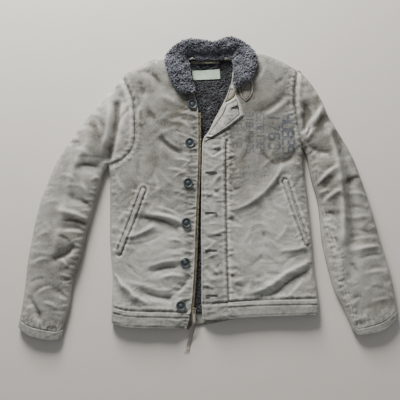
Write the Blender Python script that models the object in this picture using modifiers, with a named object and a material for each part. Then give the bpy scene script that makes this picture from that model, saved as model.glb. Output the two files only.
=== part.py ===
"""Deck jacket laid flat on its back, front up, the collar toward +Y.

Working sizes are in millimetres from a working point near the middle of the chest. They are turned
into metres, with the middle of the laid jacket at X = Y = 0 and the ground at Z = 0, when each
piece is made. Right and left in the names are the wearer's: the wearer's right lies toward -X.
"""
import math

import bmesh
import bpy
import numpy as np
from mathutils import Vector
from mathutils.bvhtree import BVHTree

# Overall layout
MM = 0.001
CENTRE_X = 21.5
CENTRE_Y = 21.5

# Cloth sizes
CLOTH = 2.2
LINING_PILE = 3.4
SEAM_GAP = 0.3
SEAM_HEIGHT = 8.0
SEAM_WALL = 1.5
TOP_ROLL = 38.0
SLEEVE_ROLL = 48.0
BOTTOM_ROLL = 9.0
EDGE_DROP = 8.0
EDGE_DROP_WIDTH = 34.0
SLEEVE_BLEND = 60.0
ARMHOLE_INSET = 2.0

# Collar sizes
COLLAR_PILE = 13.0
COLLAR_CLOTH = 2.0
COLLAR_LIFT = 1.2
COLLAR_GAP = 1.5

# Placket, bands and welts
PLACKET_CLOTH = 2.0
BAND_CLOTH = 1.2
BAND_LIFT = 0.5
WELT_WIDTH = 9.0
WELT_CLOTH = 2.4
ON_TOP = 0.35
TRIM_LIFT = 0.7
HOLE_HALF_HEIGHT = 1.1

# Buttons
BUTTON_RADIUS = 11.7
BUTTON_THICKNESS = 4.2
BUTTON_STEPS = 16

# Zip
ZIP_TAPE_WIDTH = 6.4
SLIDER_WIDTH = 9.0
SLIDER_LENGTH = 13.0
SLIDER_HEIGHT = 2.6
TAB_WIDTH = 6.4
TAB_LENGTH = 27.0
TAB_THICKNESS = 1.5
THONG_WIDTH = 7.0
THONG_THICKNESS = 1.6

# Heights of the laid cloth along the length: y, body crown, sleeve crown
CROWNS = [
    (400.0, 24.0, 34.0),
    (250.0, 27.0, 38.0),
    (100.0, 27.0, 38.0),
    (0.0, 25.0, 35.0),
    (-150.0, 23.0, 31.0),
    (-300.0, 20.0, 21.0),
    (-400.0, 20.0, 18.0),
]

# Outlines, a row per station: x, y
RIGHT_SHOULDER = [(-48, 357), (-91, 350), (-122, 344), (-153, 326), (-178, 313), (-189, 304)]
RIGHT_SLEEVE_OUTER = [
    (-189, 304), (-216, 272), (-271, 207), (-309, 153), (-346, 93), (-366, 43), (-381, 2),
    (-394, -54), (-406, -124), (-414, -205), (-418, -244), (-424, -282),
]
RIGHT_SLEEVE_INNER = [
    (-222, 80), (-228, 71), (-237, 42), (-254, -20), (-268, -75), (-282, -142), (-299, -196),
    (-308, -256), (-321, -306),
]
RIGHT_ARMHOLE = [
    (-189, 304), (-172, 264), (-161, 232), (-157, 190), (-157, 146), (-165, 117), (-188, 94),
    (-222, 80),
]
RIGHT_SIDE = [
    (-222, 80), (-217, 52), (-217, 23), (-216, -44), (-215, -99), (-212, -136), (-207, -184),
    (-208, -235), (-209, -291),
]
RIGHT_HEM = [(-209, -291), (-170, -300), (-110, -302), (-65, -303), (-32, -304)]
RIGHT_EDGE = [
    (-32, -304), (-25, -283), (-19, -237), (-13, -144), (-10, -50), (-6, 46), (-4, 118),
    (-4, 179), (-6, 226), (-14, 258), (-24, 290), (-33, 320), (-48, 357),
]
RIGHT_CUFF_END = [(-427, -300), (-404, -318), (-371, -327), (-341, -331), (-324, -325)]

LEFT_SHOULDER = [(94, 363), (143, 363), (189, 349), (226, 328), (238, 320)]
LEFT_SLEEVE_OUTER = [
    (238, 320), (249, 314), (276, 281), (298, 242), (315, 200), (339, 159), (366, 109), (383, 65),
    (411, -23), (430, -100), (444, -148), (457, -205), (464, -262),
]
LEFT_SLEEVE_INNER = [
    (251, 120), (259, 105), (263, 80), (271, 39), (280, 7), (285, -23), (289, -75), (291, -100),
    (299, -142), (309, -184), (320, -220), (338, -256), (356, -297),
]
LEFT_ARMHOLE = [
    (238, 320), (231, 277), (229, 239), (233, 202), (239, 166), (244, 140), (251, 120),
]
LEFT_SIDE = [
    (251, 120), (251, 90), (253, 49), (256, 29), (261, -29), (266, -91), (270, -160), (278, -220),
    (281, -256), (281, -272),
]
LEFT_HEM = [(281, -272), (210, -273), (132, -276), (60, -281), (6, -284)]
LEFT_EDGE = [
    (6, -284), (4, -236), (4, -167), (3, -74), (4, 21), (5, 93), (8, 143), (23, 167), (35, 193),
    (46, 213), (58, 235), (69, 258), (77, 285), (82, 320), (94, 363),
]
LEFT_CUFF_END = [(467, -278), (432, -305), (399, -315), (371, -318), (358, -308)]

BACK_HEM = [(-209, -290), (-110, -297), (-28, -301), (20, -294), (132, -275), (281, -271)]
BACK_NECK = [(-48, 353), (20, 353), (94, 357)]

# Large folds of the body, a row per fold: x0, y0, x1, y1, half width, height (minus is a trough)
BODY_FOLDS = [
    (-121, 311, -97, 281, 12, -4.0),
    (-145, 279, -143, 267, 11, -4.0),
    (-123, 212, -120, 204, 10, -3.5),
    (-89, 141, -48, 112, 11, -4.5),
    (-118, -36, -40, -55, 12, 4.5),
    (-141, -46, -56, -70, 10, -3.5),
    (-167, -88, -111, -64, 11, 3.5),
    (-110, -171, -50, -162, 11, -5.0),
    (-205, -174, -184, -201, 12, 4.0),
    (-184, -201, -153, -227, 12, 4.5),
    (-153, -227, -121, -245, 12, 3.5),
    (-133, -222, -73, -237, 11, -4.0),
    (-73, -233, -30, -190, 11, -3.5),
    (194, 77, 135, 4, 13, 4.5),
    (135, 4, 76, -24, 12, 3.0),
    (224, 105, 191, 88, 13, -5.0),
    (203, 254, 140, 210, 13, -3.5),
    (256, -111, 195, -121, 10, 3.5),
    (260, -148, 165, -201, 11, 4.0),
    (165, -201, 116, -220, 11, 3.5),
    (262, -168, 184, -217, 10, -4.0),
    (184, -217, 139, -234, 10, -3.0),
    (200, 215, 205, 160, 22, -5.0),
]

# Large folds of the sleeves, same columns
SLEEVE_FOLDS = [
    (-200, 227, -221, 100, 12, -8.0),
    (-190, 250, -186, 237, 10, -4.0),
    (-291, 72, -245, 77, 11, -4.0),
    (-298, 2, -253, -22, 11, -4.5),
    (-325, -28, -261, -52, 11, 4.0),
    (-328, -66, -267, -72, 10, -4.0),
    (-337, -139, -301, -118, 11, -6.0),
    (-338, -215, -317, -224, 9, -3.0),
    (-396, -236, -375, -275, 9, -3.0),
    (-288, 106, -316, 35, 20, 3.0),
    (-332, -34, -348, -127, 18, 3.0),
    (259, 225, 260, 180, 15, -9.0),
    (292, 225, 270, 190, 11, 3.0),
    (265, 165, 255, 146, 10, 4.0),
    (268, 124, 306, 110, 12, -5.0),
    (280, 35, 318, 70, 10, 4.0),
    (272, 16, 311, 46, 9, -4.0),
    (291, -8, 326, 20, 10, 3.5),
    (283, -38, 321, -38, 11, -5.0),
    (306, 172, 329, 46, 15, 4.0),
    (329, 46, 333, -91, 15, 4.5),
    (333, -91, 322, -180, 14, 3.0),
    (333, 165, 357, 40, 13, -4.0),
    (357, 40, 363, -95, 13, -5.0),
    (363, -95, 352, -180, 12, -3.5),
    (362, -119, 415, -111, 9, 3.0),
]

# Collar stations from the right tip round the neck to the left tip:
# inner x, inner y, outer x, outer y, height of its underside at the inner and the outer side
# (below zero: it lies on the fronts)
COLLAR = [
    (-13, 259, -19, 256, -1.0, -1.0),
    (-16, 268, -44, 257, -1.0, -1.0),
    (-20, 282, -62, 273, -1.0, -1.0),
    (-25, 302, -76, 298, -1.0, -1.0),
    (-29, 325, -84, 324, -1.0, -1.0),
    (-32, 345, -86, 344, -1.0, -1.0),
    (-30, 357, -75, 361, 9.5, 27.0),
    (-22, 357, -54, 380, 8.5, 25.0),
    (-8, 356, -28, 393, 8.0, 22.0),
    (14, 356, 6, 389, 8.0, 21.0),
    (36, 357, 40, 387, 8.0, 21.0),
    (56, 359, 69, 397, 8.0, 23.0),
    (70, 361, 94, 391, 8.5, 25.0),
    (79, 361, 117, 379, 9.5, 27.0),
    (82, 350, 136, 360, -1.0, -1.0),
    (84, 333, 139, 340, -1.0, -1.0),
    (85, 314, 136, 318, -1.0, -1.0),
    (84, 296, 127, 295, -1.0, -1.0),
    (84, 281, 112, 280, -1.0, -1.0),
    (85, 269, 93, 270, -1.0, -1.0),
]

# Turned-back corner, from its low end up: fold x, y, free edge x, y
CORNER = [
    (9, 142, 13, 141),
    (20, 161, 37, 155),
    (33, 187, 70, 174),
    (45, 211, 105, 201),
    (56, 232, 99, 228),
    (67, 255, 87, 251),
    (75, 280, 80, 279),
]

# Throat latch, from the collar down: left x, y, right x, y
LATCH = [
    (93, 290, 124, 292),
    (93, 272, 129, 274),
    (96, 256, 127, 257),
    (102, 244, 120, 245),
    (109, 238, 112, 238),
]

# Slanted pockets: top x, y, bottom x, y, bulge outward
POCKETS = {
    "right": (-135, 22, -191, -127, -4.0),
    "left": (203, 43, 253, -106, 4.0),
}

# Buttons down the right front: x, y
BUTTONS = [(-19, 231), (-25, 136), (-29, 39), (-33, -56), (-35, -150), (-45, -250)]

# Heights of the sideways buttonholes on the placket
BUTTONHOLES = [62.0, -34.0, -122.0, -227.0]
PLACKET_HEIGHT_TOP = 150.0

# Zip slider and its pull: x, y of the slider and the line of the thong x, y, z
SLIDER_AT = (-14.0, -262.0)
THONG = [
    (-15.0, -297.0, 13.5),
    (-17.0, -309.0, 9.0),
    (-21.0, -325.0, 3.6),
    (-26.0, -339.0, 1.4),
    (-29.0, -354.0, 1.2),
]


# Curves and distances

def smooth_curve(points, count):
    """Even points along a smooth curve through the table points."""
    pts = np.array(points, float)
    ends = [2 * pts[0] - pts[1]], [2 * pts[-1] - pts[-2]]
    ext = np.concatenate([ends[0], pts, ends[1]])
    out = []
    t = np.linspace(0, 1, 12, endpoint=False)[:, None]
    for k in range(len(pts) - 1):
        a, b, c, d = ext[k], ext[k + 1], ext[k + 2], ext[k + 3]
        out.append(
            0.5 * (2 * b + (c - a) * t + (2 * a - 5 * b + 4 * c - d) * t**2
                   + (3 * b - a - 3 * c + d) * t**3)
        )
    dense = np.concatenate(out + [pts[-1:]])
    step = np.linalg.norm(np.diff(dense, axis=0), axis=1)
    along = np.concatenate([[0], np.cumsum(step)]) / step.sum()
    where = np.linspace(0, 1, count) if np.isscalar(count) else np.asarray(count)
    return np.stack([np.interp(where, along, dense[:, k]) for k in range(pts.shape[1])], axis=1)


def length_fractions(points):
    """Distance along a line of points as a fraction of the whole."""
    step = np.linalg.norm(np.diff(points, axis=0), axis=1)
    return np.concatenate([[0], np.cumsum(step)]) / step.sum()


def distance_to(line, x, y):
    """Distance from each point to a line of points."""
    p = np.stack([np.ravel(x), np.ravel(y)], axis=1)
    a, b = line[:-1], line[1:]
    ab = b - a
    best = np.full(len(p), 1e9)
    for k in range(len(a)):
        t = np.clip(((p - a[k]) @ ab[k]) / max(ab[k] @ ab[k], 1e-9), 0, 1)
        best = np.minimum(best, np.linalg.norm(p - a[k] - t[:, None] * ab[k], axis=1))
    return best.reshape(np.shape(x))


def ease(t):
    """Smooth step from 0 to 1."""
    t = np.clip(t, 0, 1)
    return t * t * (3 - 2 * t)


def beyond(points, reach):
    """The line made longer at its far end."""
    p = np.array(points, float)
    step = p[-1] - p[-2]
    return np.concatenate([p, [p[-1] + step / np.linalg.norm(step) * reach]])


SILHOUETTES = [
    beyond(np.concatenate([smooth_curve(RIGHT_SHOULDER, 14),
                           smooth_curve(RIGHT_SLEEVE_OUTER + RIGHT_CUFF_END[:1], 40)]), 60),
    beyond(smooth_curve(RIGHT_SLEEVE_INNER + RIGHT_CUFF_END[-1:], 30), 60),
    beyond(smooth_curve(RIGHT_SIDE, 24), 60),
    beyond(np.concatenate([smooth_curve(LEFT_SHOULDER, 14),
                           smooth_curve(LEFT_SLEEVE_OUTER + LEFT_CUFF_END[:1], 40)]), 60),
    beyond(smooth_curve(LEFT_SLEEVE_INNER + LEFT_CUFF_END[-1:], 30), 60),
    beyond(smooth_curve(LEFT_SIDE, 24), 60),
]
FRONT_EDGES = [smooth_curve(RIGHT_EDGE, 60), smooth_curve(LEFT_EDGE, 60)]
ARMHOLES = [smooth_curve(RIGHT_ARMHOLE, 30), smooth_curve(LEFT_ARMHOLE, 30)]


def outline_distance(x, y):
    """Distance inward from the outline of the laid jacket."""
    return np.min([distance_to(line, x, y) for line in SILHOUETTES], axis=0)


def fold_height(folds, x, y):
    """Sum of the large folds at each point."""
    z = np.zeros(np.shape(x))
    for x0, y0, x1, y1, half, height in folds:
        line = np.array([(x0, y0), (x1, y1)], float)
        z += height * np.exp(-((distance_to(line, x, y) / half) ** 2))
    return z


def top_height(x, y, sleeve=False):
    """Height of the outside of the upper cloth."""
    rows = np.array(CROWNS[::-1])
    body = np.interp(y, rows[:, 0], rows[:, 1])
    arm = np.interp(y, rows[:, 0], rows[:, 2])
    d = outline_distance(x, y)
    share = np.zeros(np.shape(x))
    if sleeve:
        near = np.min([distance_to(line, x, y) for line in ARMHOLES], axis=0)
        share = ease(near / SLEEVE_BLEND)
    crown = body + (arm - body) * share
    roll = TOP_ROLL + (SLEEVE_ROLL - TOP_ROLL) * share
    base = SEAM_HEIGHT + SEAM_WALL
    t = np.clip(d / roll, 0, 1)
    rise = np.sqrt(np.clip(1 - (1 - t) ** 2, 0, 1))
    edge = np.min([distance_to(line, x, y) for line in FRONT_EDGES], axis=0)
    drop = EDGE_DROP * (1 - ease(edge / EDGE_DROP_WIDTH))
    folds = fold_height(BODY_FOLDS + SLEEVE_FOLDS, x, y)
    z = base + (crown - base) * rise + (folds - drop) * ease(d / 26.0)
    return np.maximum(z, base)


def bottom_height(x, y):
    """Height of the outside of the cloth that lies on the ground."""
    d = outline_distance(x, y)
    t = np.clip(d / BOTTOM_ROLL, 0, 1)
    curl = 1 - np.sqrt(np.clip(1 - (1 - t) ** 2, 0, 1))
    return (SEAM_HEIGHT - SEAM_GAP - SEAM_WALL) * curl


# Grids of points: first index across, second index along

def coons(left, right, bottom, top, u, v, hold=1.0):
    """Plan points of a panel between its four edges.

    Each end bends the lines near it; a higher hold keeps that bend closer to the end.
    """
    u = np.asarray(u)[:, None, None]
    v = np.asarray(v)[None, :, None]
    across = (1 - u) * left[None] + u * right[None]
    low_bend = bottom[:, None] - ((1 - u) * bottom[0] + u * bottom[-1])
    high_bend = top[:, None] - ((1 - u) * top[0] + u * top[-1])
    return across + (1 - v) ** hold * low_bend + v**hold * high_bend


def with_height(plan, height):
    """Plan points and heights as one grid."""
    return np.concatenate([plan, height[..., None]], axis=-1)


def grid_normals(grid):
    """Outward unit directions of a grid, up for a level one."""
    a = grid[1:, :-1] - grid[:-1, :-1]
    b = grid[:-1, 1:] - grid[:-1, :-1]
    c = grid[1:, 1:] - grid[:-1, 1:]
    d = grid[1:, 1:] - grid[1:, :-1]
    face = np.cross(a, b) + np.cross(c, d)
    size = np.linalg.norm(face, axis=-1, keepdims=True)
    face = np.where(size > 1e-9, face / np.maximum(size, 1e-9), 0)
    total = np.zeros(grid.shape)
    total[:-1, :-1] += face
    total[1:, :-1] += face
    total[:-1, 1:] += face
    total[1:, 1:] += face
    total /= np.maximum(np.linalg.norm(total, axis=-1, keepdims=True), 1e-9)
    return total if total[..., 2].sum() > 0 else -total


def square_cut(normals, grid, side, level_rows, flush_corners):
    """Turn the wall of one edge: level where it meets the cloth below, plumb at other seams.

    With flush corners the last level point next to a plumb seam also stays in the seam's plane.
    """
    cut = normals.copy()
    line = {"u0": grid[0], "u1": grid[-1], "v0": grid[:, 0], "v1": grid[:, -1]}[side]
    run = np.gradient(line[:, :2], axis=0)
    run[0] = run[1] if abs(run[0]).max() < 1e-6 else run[0]
    run[-1] = run[-2] if abs(run[-1]).max() < 1e-6 else run[-1]
    run /= np.maximum(np.linalg.norm(run, axis=1, keepdims=True), 1e-9)
    across = np.stack([-run[:, 1], run[:, 0], np.zeros(len(run))], axis=1)
    place = {"u0": np.s_[0, :], "u1": np.s_[-1, :], "v0": np.s_[:, 0], "v1": np.s_[:, -1]}[side]
    level_rows = np.asarray(level_rows)
    n = cut[place]
    n[level_rows, 2] = 0.0
    plumb = ~level_rows
    turns = np.flatnonzero(level_rows[1:] != level_rows[:-1]) if flush_corners else []
    for k in turns:
        corner, seam = (k, k + 1) if level_rows[k] else (k + 1, k)
        step = line[seam, :2] - line[corner, :2]
        step /= max(np.linalg.norm(step), 1e-9)
        across[corner] = (-step[1], step[0], 0.0)
        plumb[corner] = True
    n[plumb] -= (n[plumb] * across[plumb]).sum(axis=1, keepdims=True) * across[plumb]
    cut[place] = n / np.maximum(np.linalg.norm(n, axis=1, keepdims=True), 1e-9)
    return cut


def bilinear(grid, i, j):
    """Point on the facets of a grid at fractional places across and along."""
    i = np.clip(i, 0, grid.shape[0] - 1)
    j = np.clip(j, 0, grid.shape[1] - 1)
    a = np.minimum(np.floor(i).astype(int), grid.shape[0] - 2)
    b = np.minimum(np.floor(j).astype(int), grid.shape[1] - 2)
    s, t = (i - a)[..., None], (j - b)[..., None]
    first, across = grid[a, b], grid[a + 1, b]
    along, last = grid[a, b + 1], grid[a + 1, b + 1]
    lower = first + s * (across - first) + t * (last - across)
    upper = first + t * (along - first) + s * (last - along)
    return np.where(s >= t, lower, upper)


# Making objects

def clear_scene():
    """Start from an empty scene."""
    for obj in list(bpy.data.objects):
        bpy.data.objects.remove(obj, do_unlink=True)
    for mat in list(bpy.data.materials):
        bpy.data.materials.remove(mat, do_unlink=True)


def make_material(name, colour, roughness, metallic=0.0):
    """A plain material with its own colour, made once."""
    if name in bpy.data.materials:
        return bpy.data.materials[name]
    mat = bpy.data.materials.new(name)
    mat.use_nodes = True
    shader = mat.node_tree.nodes["Principled BSDF"]
    shader.inputs["Base Color"].default_value = (*colour, 1.0)
    shader.inputs["Roughness"].default_value = roughness
    shader.inputs["Metallic"].default_value = metallic
    mat.diffuse_color = (*colour, 1.0)
    return mat


def shell_cloth():
    return make_material("shell_cloth", (0.30, 0.27, 0.20), 0.9)


def sleeve_cloth():
    return make_material("sleeve_cloth", (0.27, 0.26, 0.21), 0.9)


def placket_cloth():
    return make_material("placket_cloth", (0.33, 0.30, 0.22), 0.9)


def facing_cloth():
    return make_material("facing_cloth", (0.36, 0.34, 0.26), 0.9)


def band_cloth():
    return make_material("band_cloth", (0.28, 0.25, 0.18), 0.9)


def pile():
    return make_material("pile", (0.12, 0.11, 0.12), 1.0)


def button_plastic():
    return make_material("button_plastic", (0.02, 0.02, 0.03), 0.4)


def zip_tape_cloth():
    return make_material("zip_tape_cloth", (0.30, 0.20, 0.10), 0.9)


def zip_brass():
    return make_material("zip_brass", (0.45, 0.33, 0.15), 0.45, 1.0)


def tab_metal():
    return make_material("tab_metal", (0.60, 0.58, 0.54), 0.4, 1.0)


def thong_leather():
    return make_material("thong_leather", (0.30, 0.28, 0.26), 0.8)


def label_cloth():
    return make_material("label_cloth", (0.45, 0.48, 0.36), 0.9)


def loop_cloth():
    return make_material("loop_cloth", (0.20, 0.19, 0.16), 0.9)


def to_metres(points):
    """Working millimetres into metres about the middle of the jacket."""
    return (np.asarray(points, float) - np.array([CENTRE_X, CENTRE_Y, 0.0])) * MM


def object_from(name, mesh, material):
    """Object with one named mesh and one material."""
    mesh.name = name
    obj = bpy.data.objects.new(name, mesh)
    bpy.context.scene.collection.objects.link(obj)
    obj.data.materials.append(material)
    return obj


def slab(name, outer, inner, material, holes=()):
    """Closed body between two grids of points; cells named in holes are left open."""
    nu, nv = outer.shape[:2]
    bm = bmesh.new()
    top = [[bm.verts.new(p) for p in row] for row in to_metres(outer)]
    low = [[bm.verts.new(p) for p in row] for row in to_metres(inner)]
    solid = np.ones((nu - 1, nv - 1), bool)
    for i, j in holes:
        solid[i, j] = False

    def filled(i, j):
        return 0 <= i < nu - 1 and 0 <= j < nv - 1 and solid[i, j]

    for i in range(nu - 1):
        for j in range(nv - 1):
            if not solid[i, j]:
                continue
            for layer in (top, low):
                bm.faces.new([layer[i][j], layer[i + 1][j], layer[i + 1][j + 1]])
                bm.faces.new([layer[i][j], layer[i + 1][j + 1], layer[i][j + 1]])
            sides = [
                ((i, j - 1), (i, j), (i + 1, j)),
                ((i + 1, j), (i + 1, j), (i + 1, j + 1)),
                ((i, j + 1), (i + 1, j + 1), (i, j + 1)),
                ((i - 1, j), (i, j + 1), (i, j)),
            ]
            for other, a, b in sides:
                if not filled(*other):
                    bm.faces.new([top[a[0]][a[1]], low[a[0]][a[1]], top[b[0]][b[1]]])
                    bm.faces.new([low[a[0]][a[1]], low[b[0]][b[1]], top[b[0]][b[1]]])
    bmesh.ops.recalc_face_normals(bm, faces=bm.faces)
    mesh = bpy.data.meshes.new(name)
    bm.to_mesh(mesh)
    bm.free()
    return object_from(name, mesh, material)


def ring_tube(name, loops, inner_loops, material):
    """Closed tube wall from outer and inner loops of points, a loop per station."""
    bm = bmesh.new()
    out = [[bm.verts.new(p) for p in loop] for loop in to_metres(loops)]
    inn = [[bm.verts.new(p) for p in loop] for loop in to_metres(inner_loops)]
    count = len(out[0])
    for k in range(count):
        n = (k + 1) % count
        for s in range(len(out) - 1):
            bm.faces.new([out[s][k], out[s][n], out[s + 1][n], out[s + 1][k]])
            bm.faces.new([inn[s][k], inn[s + 1][k], inn[s + 1][n], inn[s][n]])
        bm.faces.new([out[0][k], inn[0][k], inn[0][n], out[0][n]])
        bm.faces.new([out[-1][k], out[-1][n], inn[-1][n], inn[-1][k]])
    bmesh.ops.triangulate(bm, faces=bm.faces)
    bmesh.ops.recalc_face_normals(bm, faces=bm.faces)
    mesh = bpy.data.meshes.new(name)
    bm.to_mesh(mesh)
    bm.free()
    return object_from(name, mesh, material)


# Body and sleeve panels

# Shares of the armhole: from the shoulder to the turn, and from the turn to the underarm
ARM_UPPER = [0, 0.04, 0.10, 0.19, 0.31, 0.43, 0.55, 0.64, 0.69, 0.72]
ARM_LOWER = [0.765, 0.81, 0.855, 0.90, 0.945, 0.975, 1]
UNDERARM_SHARE = 0.34
ARM_STATIONS = ARM_UPPER + ARM_LOWER
SIDE_ROWS = 17
FRONT_COLUMNS = [
    0, 0, 0.02, 0.055, 0.11, 0.18, 0.26, 0.34, 0.42, 0.50, 0.58, 0.65, 0.715, 0.78, 0.87, 0.955, 1,
]
PLACKET_COLUMNS = [13, 14, 15, 16]
BACK_COLUMNS = [0, 0, 0.012, 0.035, 0.15, 0.35, 0.5, 0.65, 0.85, 0.965, 0.988, 1, 1]
SLEEVE_ROWS = 15
UNDER_ROWS = 8


def side_and_armhole(side, armhole):
    """Points up the side seam and on up the armhole, the last one twice for the seam wall."""
    hole = smooth_curve(armhole, ARM_STATIONS)[::-1]
    points = np.concatenate([smooth_curve(side, SIDE_ROWS)[::-1], hole[1:]])
    return np.concatenate([points, points[-1:]])


def inset_columns(plan, seam_rows, border, second, third):
    """Move the second column off the border where the border is a seam and not the outline."""
    toward = plan[third] - plan[border]
    toward /= np.maximum(np.linalg.norm(toward, axis=1, keepdims=True), 1e-9)
    plan[second][seam_rows] = plan[border][seam_rows] + ARMHOLE_INSET * toward[seam_rows]


def front_grid(side, armhole, hem, edge, shoulder):
    """Outer points of a front, the first column along the side and armhole."""
    outer = side_and_armhole(side, armhole)
    v = length_fractions(outer)
    u = np.array(FRONT_COLUMNS)
    plan = coons(
        outer, smooth_curve(edge, v), smooth_curve(hem, u), smooth_curve(shoulder[::-1], u), u, v, 3.0
    )
    seam_rows = np.arange(len(outer)) >= SIDE_ROWS
    inset_columns(plan, seam_rows, 0, 1, 2)
    z = top_height(plan[..., 0], plan[..., 1])
    z[0][~seam_rows] = SEAM_HEIGHT
    z[:, -1] = SEAM_HEIGHT
    return with_height(plan, z), ~seam_rows


def shell_inside(outer, thickness, cuts, flush_corners=True):
    """Inner points of a cloth shell whose seam walls are cut square."""
    normals = grid_normals(outer)
    for side, level_rows in cuts:
        normals = square_cut(normals, outer, side, level_rows, flush_corners)
    return outer + thickness * normals


def build_front(name, grid, outline_rows):
    """One front panel as a thin shell."""
    ends = np.ones(grid.shape[0], bool)
    cuts = [("v1", ends), ("u0", outline_rows)]
    return slab(name, grid, shell_inside(grid, -CLOTH, cuts), shell_cloth())


def cuff_line(outer, inner, cuff_end, share):
    """Line across the sleeve end: share 0 at the cuff seam, 1 at the cuff end."""
    shares = np.array(ARM_UPPER) / ARM_UPPER[-1]
    end = smooth_curve(cuff_end, shares)
    t = shares[:, None]
    bow = end - (end[0] * (1 - t) + end[-1] * t)
    seam = np.array(outer[-1], float) * (1 - t) + np.array(inner[-1], float) * t + 0.8 * bow
    return seam * (1 - share) + end * share


def doubled_ends(line):
    """The line with its first and last points given twice."""
    return np.concatenate([line[:1], line, line[-1:]])


def sleeve_grid(outer, inner, armhole, cuff_end, rows, on_ground):
    """Outer points of a sleeve half, from the upper armhole down to the cuff seam.

    The inner border first follows the lower armhole to the underarm, then the sleeve's inner side.
    """
    hole = smooth_curve(armhole, ARM_STATIONS)
    run = np.gradient(hole, axis=0)
    away = np.stack([run[:, 1], -run[:, 0]], axis=1)
    away /= np.linalg.norm(away, axis=1, keepdims=True)
    toward_cuff = np.mean(np.array(cuff_end, float), axis=0) - hole.mean(axis=0)
    away *= np.sign((away * toward_cuff).sum(axis=1).mean())
    hole = hole + SEAM_GAP * away
    upper = len(ARM_UPPER)
    below = smooth_curve(inner, np.linspace(0, 1, rows)[1:])
    right = np.concatenate([hole[upper - 1:], below])
    v = np.concatenate([
        np.linspace(0, UNDERARM_SHARE, len(ARM_LOWER) + 1), np.linspace(UNDERARM_SHARE, 1, rows)[1:]
    ])
    left = smooth_curve(outer, v)
    left[0] = hole[0]
    u = np.concatenate([[0], np.array(ARM_UPPER) / ARM_UPPER[-1], [1]])
    cuff = doubled_ends(cuff_line(outer, inner, cuff_end, 0.0))
    left[-1], right[-1] = cuff[0], cuff[-1]
    plan = coons(left, right, doubled_ends(hole[:upper]), cuff, u, v)
    seam_rows = np.arange(len(right)) < len(ARM_LOWER)
    inset_columns(plan, seam_rows, -1, -2, -3)
    x, y = plan[..., 0], plan[..., 1]
    if on_ground:
        z = bottom_height(x, y)
        z[0] = SEAM_HEIGHT - SEAM_GAP
        z[-1][~seam_rows] = SEAM_HEIGHT - SEAM_GAP
    else:
        z = top_height(x, y, sleeve=True)
        z[0] = SEAM_HEIGHT
        z[-1][~seam_rows] = SEAM_HEIGHT
    return with_height(plan, z), ~seam_rows


def build_sleeve_half(name, table, on_ground):
    """Upper or under half of a sleeve as a thin shell."""
    rows = UNDER_ROWS if on_ground else SLEEVE_ROWS
    grid, inner_rows = sleeve_grid(*table, rows, on_ground)
    plumb = np.zeros(grid.shape[0], bool)
    level = np.ones(grid.shape[1], bool)
    cuts = [("u0", level), ("u1", inner_rows), ("v0", plumb), ("v1", plumb)]
    thickness = CLOTH if on_ground else -CLOTH
    return slab(name, grid, shell_inside(grid, thickness, cuts, False), sleeve_cloth())


def build_cuff_band(name, outer, inner, cuff_end):
    """Flat open ring at the end of a sleeve."""
    loops, insides = [], []
    length = np.linalg.norm(np.array(cuff_end[0], float) - np.array(outer[-1], float))
    for share in (SEAM_GAP / length, 0.5, 1.0):
        line = cuff_line(outer, inner, cuff_end, share)
        top = with_height(line, top_height(line[:, 0], line[:, 1], sleeve=True))
        low = with_height(line, bottom_height(line[:, 0], line[:, 1]))
        tangent = np.gradient(line, axis=0)
        tangent /= np.linalg.norm(tangent, axis=1, keepdims=True)
        loop = np.concatenate([top, low[::-1]])
        tangent = np.concatenate([tangent, tangent[::-1]])
        along = np.roll(loop, -1, axis=0) - np.roll(loop, 1, axis=0)
        flat = (along[:, :2] * tangent).sum(axis=1)
        size = np.hypot(flat, along[:, 2])
        inward = np.concatenate(
            [tangent * (along[:, 2] / size)[:, None], (-flat / size)[:, None]], axis=1
        )
        loops.append(loop)
        insides.append(loop + CLOTH * inward)
    return ring_tube(name, loops, insides, band_cloth())


def back_grid():
    """Outer points of the back, which lies on the ground."""
    left = side_and_armhole(RIGHT_SIDE, RIGHT_ARMHOLE)
    right = side_and_armhole(LEFT_SIDE, LEFT_ARMHOLE)
    v = (length_fractions(left) + length_fractions(right)) / 2
    u = np.array(BACK_COLUMNS)
    top_line = (
        [tuple(p) for p in RIGHT_SHOULDER[::-1][:-1]] + BACK_NECK + [tuple(p) for p in LEFT_SHOULDER[1:]]
    )
    plan = coons(left, right, smooth_curve(BACK_HEM, u), smooth_curve(top_line, u), u, v, 4.0)
    seam_rows = np.arange(len(left)) >= SIDE_ROWS
    inset_columns(plan, seam_rows, 0, 1, 2)
    inset_columns(plan, seam_rows, -1, -2, -3)
    z = bottom_height(plan[..., 0], plan[..., 1])
    z[0][~seam_rows] = SEAM_HEIGHT - SEAM_GAP
    z[-1][~seam_rows] = SEAM_HEIGHT - SEAM_GAP
    shoulder = (plan[:, -1, 0] < -60) | (plan[:, -1, 0] > 106)
    z[shoulder, -1] = SEAM_HEIGHT - SEAM_GAP
    plan[~shoulder, -2] += np.array([0.0, -3.0])
    return with_height(plan, z), ~seam_rows, shoulder


def build_back_panel():
    """The back, flat on the ground, its border curled up to the seams."""
    grid, outline_rows, shoulder = back_grid()
    cuts = [("v1", shoulder), ("u0", outline_rows), ("u1", outline_rows)]
    slab("back_panel", grid, shell_inside(grid, CLOTH, cuts), shell_cloth())


def side_at(y, side, armhole, shoulder):
    """X of the body border at the height y."""
    line = np.array(side[::-1] + armhole[::-1][1:] + shoulder[::-1][1:], float)
    return np.interp(y, line[:, 1], line[:, 0])


def inside_slab(name, x0, x1, y, base, thickness, columns, material):
    """Flat layer between two borders given at each y."""
    u = np.linspace(0, 1, columns)[:, None]
    x = x0[None] * (1 - u) + x1[None] * u
    low = np.stack([x, np.broadcast_to(y, x.shape), np.full(x.shape, base)], axis=-1)
    return slab(name, low + np.array([0, 0, thickness]), low, material)


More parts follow.
